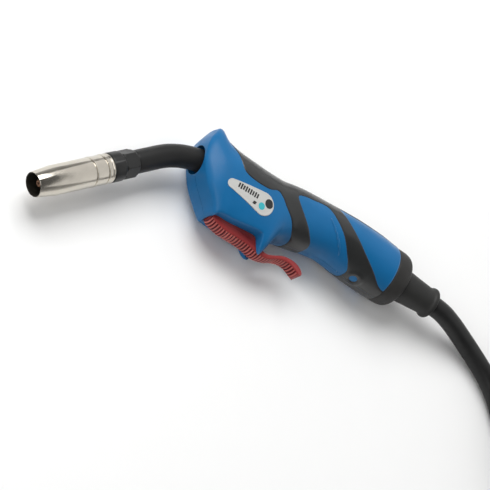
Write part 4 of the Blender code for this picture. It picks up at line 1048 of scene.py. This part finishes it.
def make_rear():
    collar = [(GAP, 14.0), (GAP, 18.1, 0.2), (0.9, 18.6, 0.3), (7.0, 18.55, 1.0), (10.2, 17.9, 1.5),
              (11.9, 16.7, 1.5), (12.6, 15.0, 0.6), (12.6, 12.6, 0.3), (9.0, 12.6), (8.0, 14.0)]
    piece("swivel_collar", lathe(collar, (0, 0, 0), (1, 0, 0), 128), "collar", "handle", "rear_collar",
          sharp=50)
    centre = Vector((BALL_X, 0, 0))
    front, rear, bore = -9.6, 8.4, CABLE_RADIUS + 0.1
    ball = [(front, bore)] + [(a, sqrt(BALL_RADIUS**2 - a * a)) for a in np.linspace(front, rear, 25)]
    piece("swivel_joint_ball", lathe(ball + [(rear, bore)], centre, (1, 0, 0), 64, ease=0.05), "black",
          "cable_end", "swivel_ball")
    relief = [(8.7, bore), (8.7, 10.2, 0.3), (9.4, 10.8, 0.5), (12.0, 10.9, 1.0), (20.0, 10.2, 3.0),
              (32.0, 9.2, 1.5), (34.4, 9.3, 0.8), (35.8, 10.25, 0.6), (37.4, 10.3, 0.7), (38.3, 9.6, 0.5),
              (38.5, 8.2, 0.3), (38.3, bore)]
    piece("relief_sleeve", lathe(relief, centre, (1, 0, 0), 96), "relief", "cable_end", "strain_relief",
          sharp=60)
    sheath = [(-9.0, 0), (-9.0, CABLE_RADIUS), (39.3, CABLE_RADIUS), (39.3, 0)]
    piece("sheathed_cable", lathe(sheath, centre, (1, 0, 0), 64, ease=0), "cable", "cable_end",
          "relief_cable")


# ---------------- pieces on the cable

def make_ties():
    return [piece(f"cable_tie_{number}", strap_mesh(angle), "strap", "cable_end", f"coil_tie_{number}")
            for number, angle in enumerate(TIE_ANGLES, 1)]


def make_plug():
    """The central connector: boot, housing halves, screws, brass body, wire tube, lock nut and pins."""
    base, axis = PLUG_START, (0, 1, 0)
    bore = CABLE_RADIUS + 0.15
    profile = [(0, bore), (0, 8.2), (0.8, 9.4), (4.2, 9.6), (5.4, 8.9)]
    for ring in range(6):
        along, radius = 6.5 + 3.2 * ring, 9.0 + 0.35 * ring
        profile += [(along, radius), (along + 0.5, radius - 1.1), (along + 1.3, radius - 1.1),
                    (along + 1.8, radius)]
    profile += [(26.0, 11.2), (26.0, bore)]
    made = [piece("connector_boot", lathe(profile, base, axis, 48, ease=0.2), "relief", "cable_end",
                  "plug_boot")]
    shell = [(26.3, 9.0), (26.3, 14.2), (27.2, 15.2), (31.0, 16.8), (38.0, 18.0), (44.0, 18.4), (69.0, 18.8),
             (70.8, 18.2), (71.0, 17.4), (71.0, 12.0), (26.9, 12.0), (26.9, 9.0)]
    across = Vector((1, 0, 0))
    spots = [base + Vector((14.6, 40.0, 0)), base + Vector((-14.6, 60.0, 0))]

    def grooved(along, radius, angle):
        grip = clamp((along - 46.0) / 3.0) * clamp((66.0 - along) / 3.0)
        return radius - 0.5 * grip * max(0.0, cos(12 * angle)) ** 4 if radius > 13 else radius

    whole = applied(lathe(shell, base, axis, 120, reach=grooved, ease=0.5),
                    [cylinder(2.3, 4.6, 30, spot, (0, 0, 1), 28) for spot in spots])
    for side, word in ((1, "top"), (-1, "bottom")):
        half = half_of(whole, side, level=base.z, closed=True)
        made.append(piece(f"connector_housing_{word}", half, "black", "cable_end", f"plug_housing_{word}"))
    for number, spot in enumerate(spots, 1):
        screw = lathe([(-6, 0), (-6, 1.1), (4.8, 1.1), (4.8, 1.9), (6.0, 1.9), (6.4, 1.4), (6.4, 0)], spot,
                      (0, 0, 1), 32, ease=0.15)
        slots = [box_mesh(spot + Vector((-1.1, -0.25, 5.6)), spot + Vector((1.1, 0.25, 7))),
                 box_mesh(spot + Vector((-0.25, -1.1, 5.6)), spot + Vector((0.25, 1.1, 7)))]
        made.append(piece(f"connector_screw_{number}", applied(screw, slots), "steel", "cable_end",
                          f"plug_screw_{number}"))
    shape = [(27.0, 0), (27.0, 10.6), (73.8, 10.6), (74.0, 15.0), (78.0, 15.0), (78.0, 9.6), (83.0, 9.6),
             (83.4, 9.1), (84.6, 9.1), (85.0, 9.6), (95.6, 9.6), (97.0, 8.6), (97.0, 4.6), (92.0, 4.6),
             (92.0, 0)]
    body = lathe(shape, base, axis, 64, ease=0.3)
    pins = [cylinder(1.8, 70, 80, base + across * PIN_CIRCLE * turn, axis, 24) for turn in (-1, 1)]
    made.append(piece("connector_body", applied(body, pins), "brass", "cable_end", "plug_body"))
    wire_tube = [(92.3, 1.4), (92.3, 2.6), (109.8, 2.6), (110.6, 2.1), (110.6, 1.4)]
    made.append(piece("connector_wire_tube", lathe(wire_tube, base, axis, 32, ease=0.15), "steel",
                      "cable_end", "plug_tube"))

    def fluted(along, radius, angle):
        grip = clamp((along - 73.0) / 1.2) * clamp((87.4 - along) / 1.2)
        return radius - 0.9 * grip * (0.5 + 0.5 * cos(18 * angle)) ** 2 if radius > 18 else radius

    nut = [(71.3, 15.5), (71.3, 19.6), (72.4, 21.4), (75.0, 21.6), (85.0, 21.6), (88.2, 21.2), (89.0, 20.2),
           (89.0, 17.0), (87.0, 15.8), (87.0, 15.5)]
    made.append(piece("connector_nut", lathe(nut, base, axis, 216, reach=fluted, ease=0.4), "black",
                      "lock_nut", "plug_nut"))
    pin = [(75.0, 0), (75.0, 1.5), (85.6, 1.5), (86.3, 1.2), (86.5, 0.5), (86.5, 0)]
    for number, turn in ((1, -1), (2, 1)):
        made.append(piece(f"connector_pin_{number}",
                          lathe(pin, base + across * PIN_CIRCLE * turn, axis, 28, ease=0.2), "brass",
                          f"control_pin_{number}", f"plug_pin_{number}"))
    return made


def main():
    make_camera()
    FINISHES.update(make_finishes())
    cable, exit_point, length = make_cable()
    on_cable = make_ties() + make_plug()
    make_room()
    make_handle()
    make_label()
    make_screws()
    make_trigger()
    make_switch()
    make_nozzle()
    make_tip()
    make_neck()
    make_rear()


main()
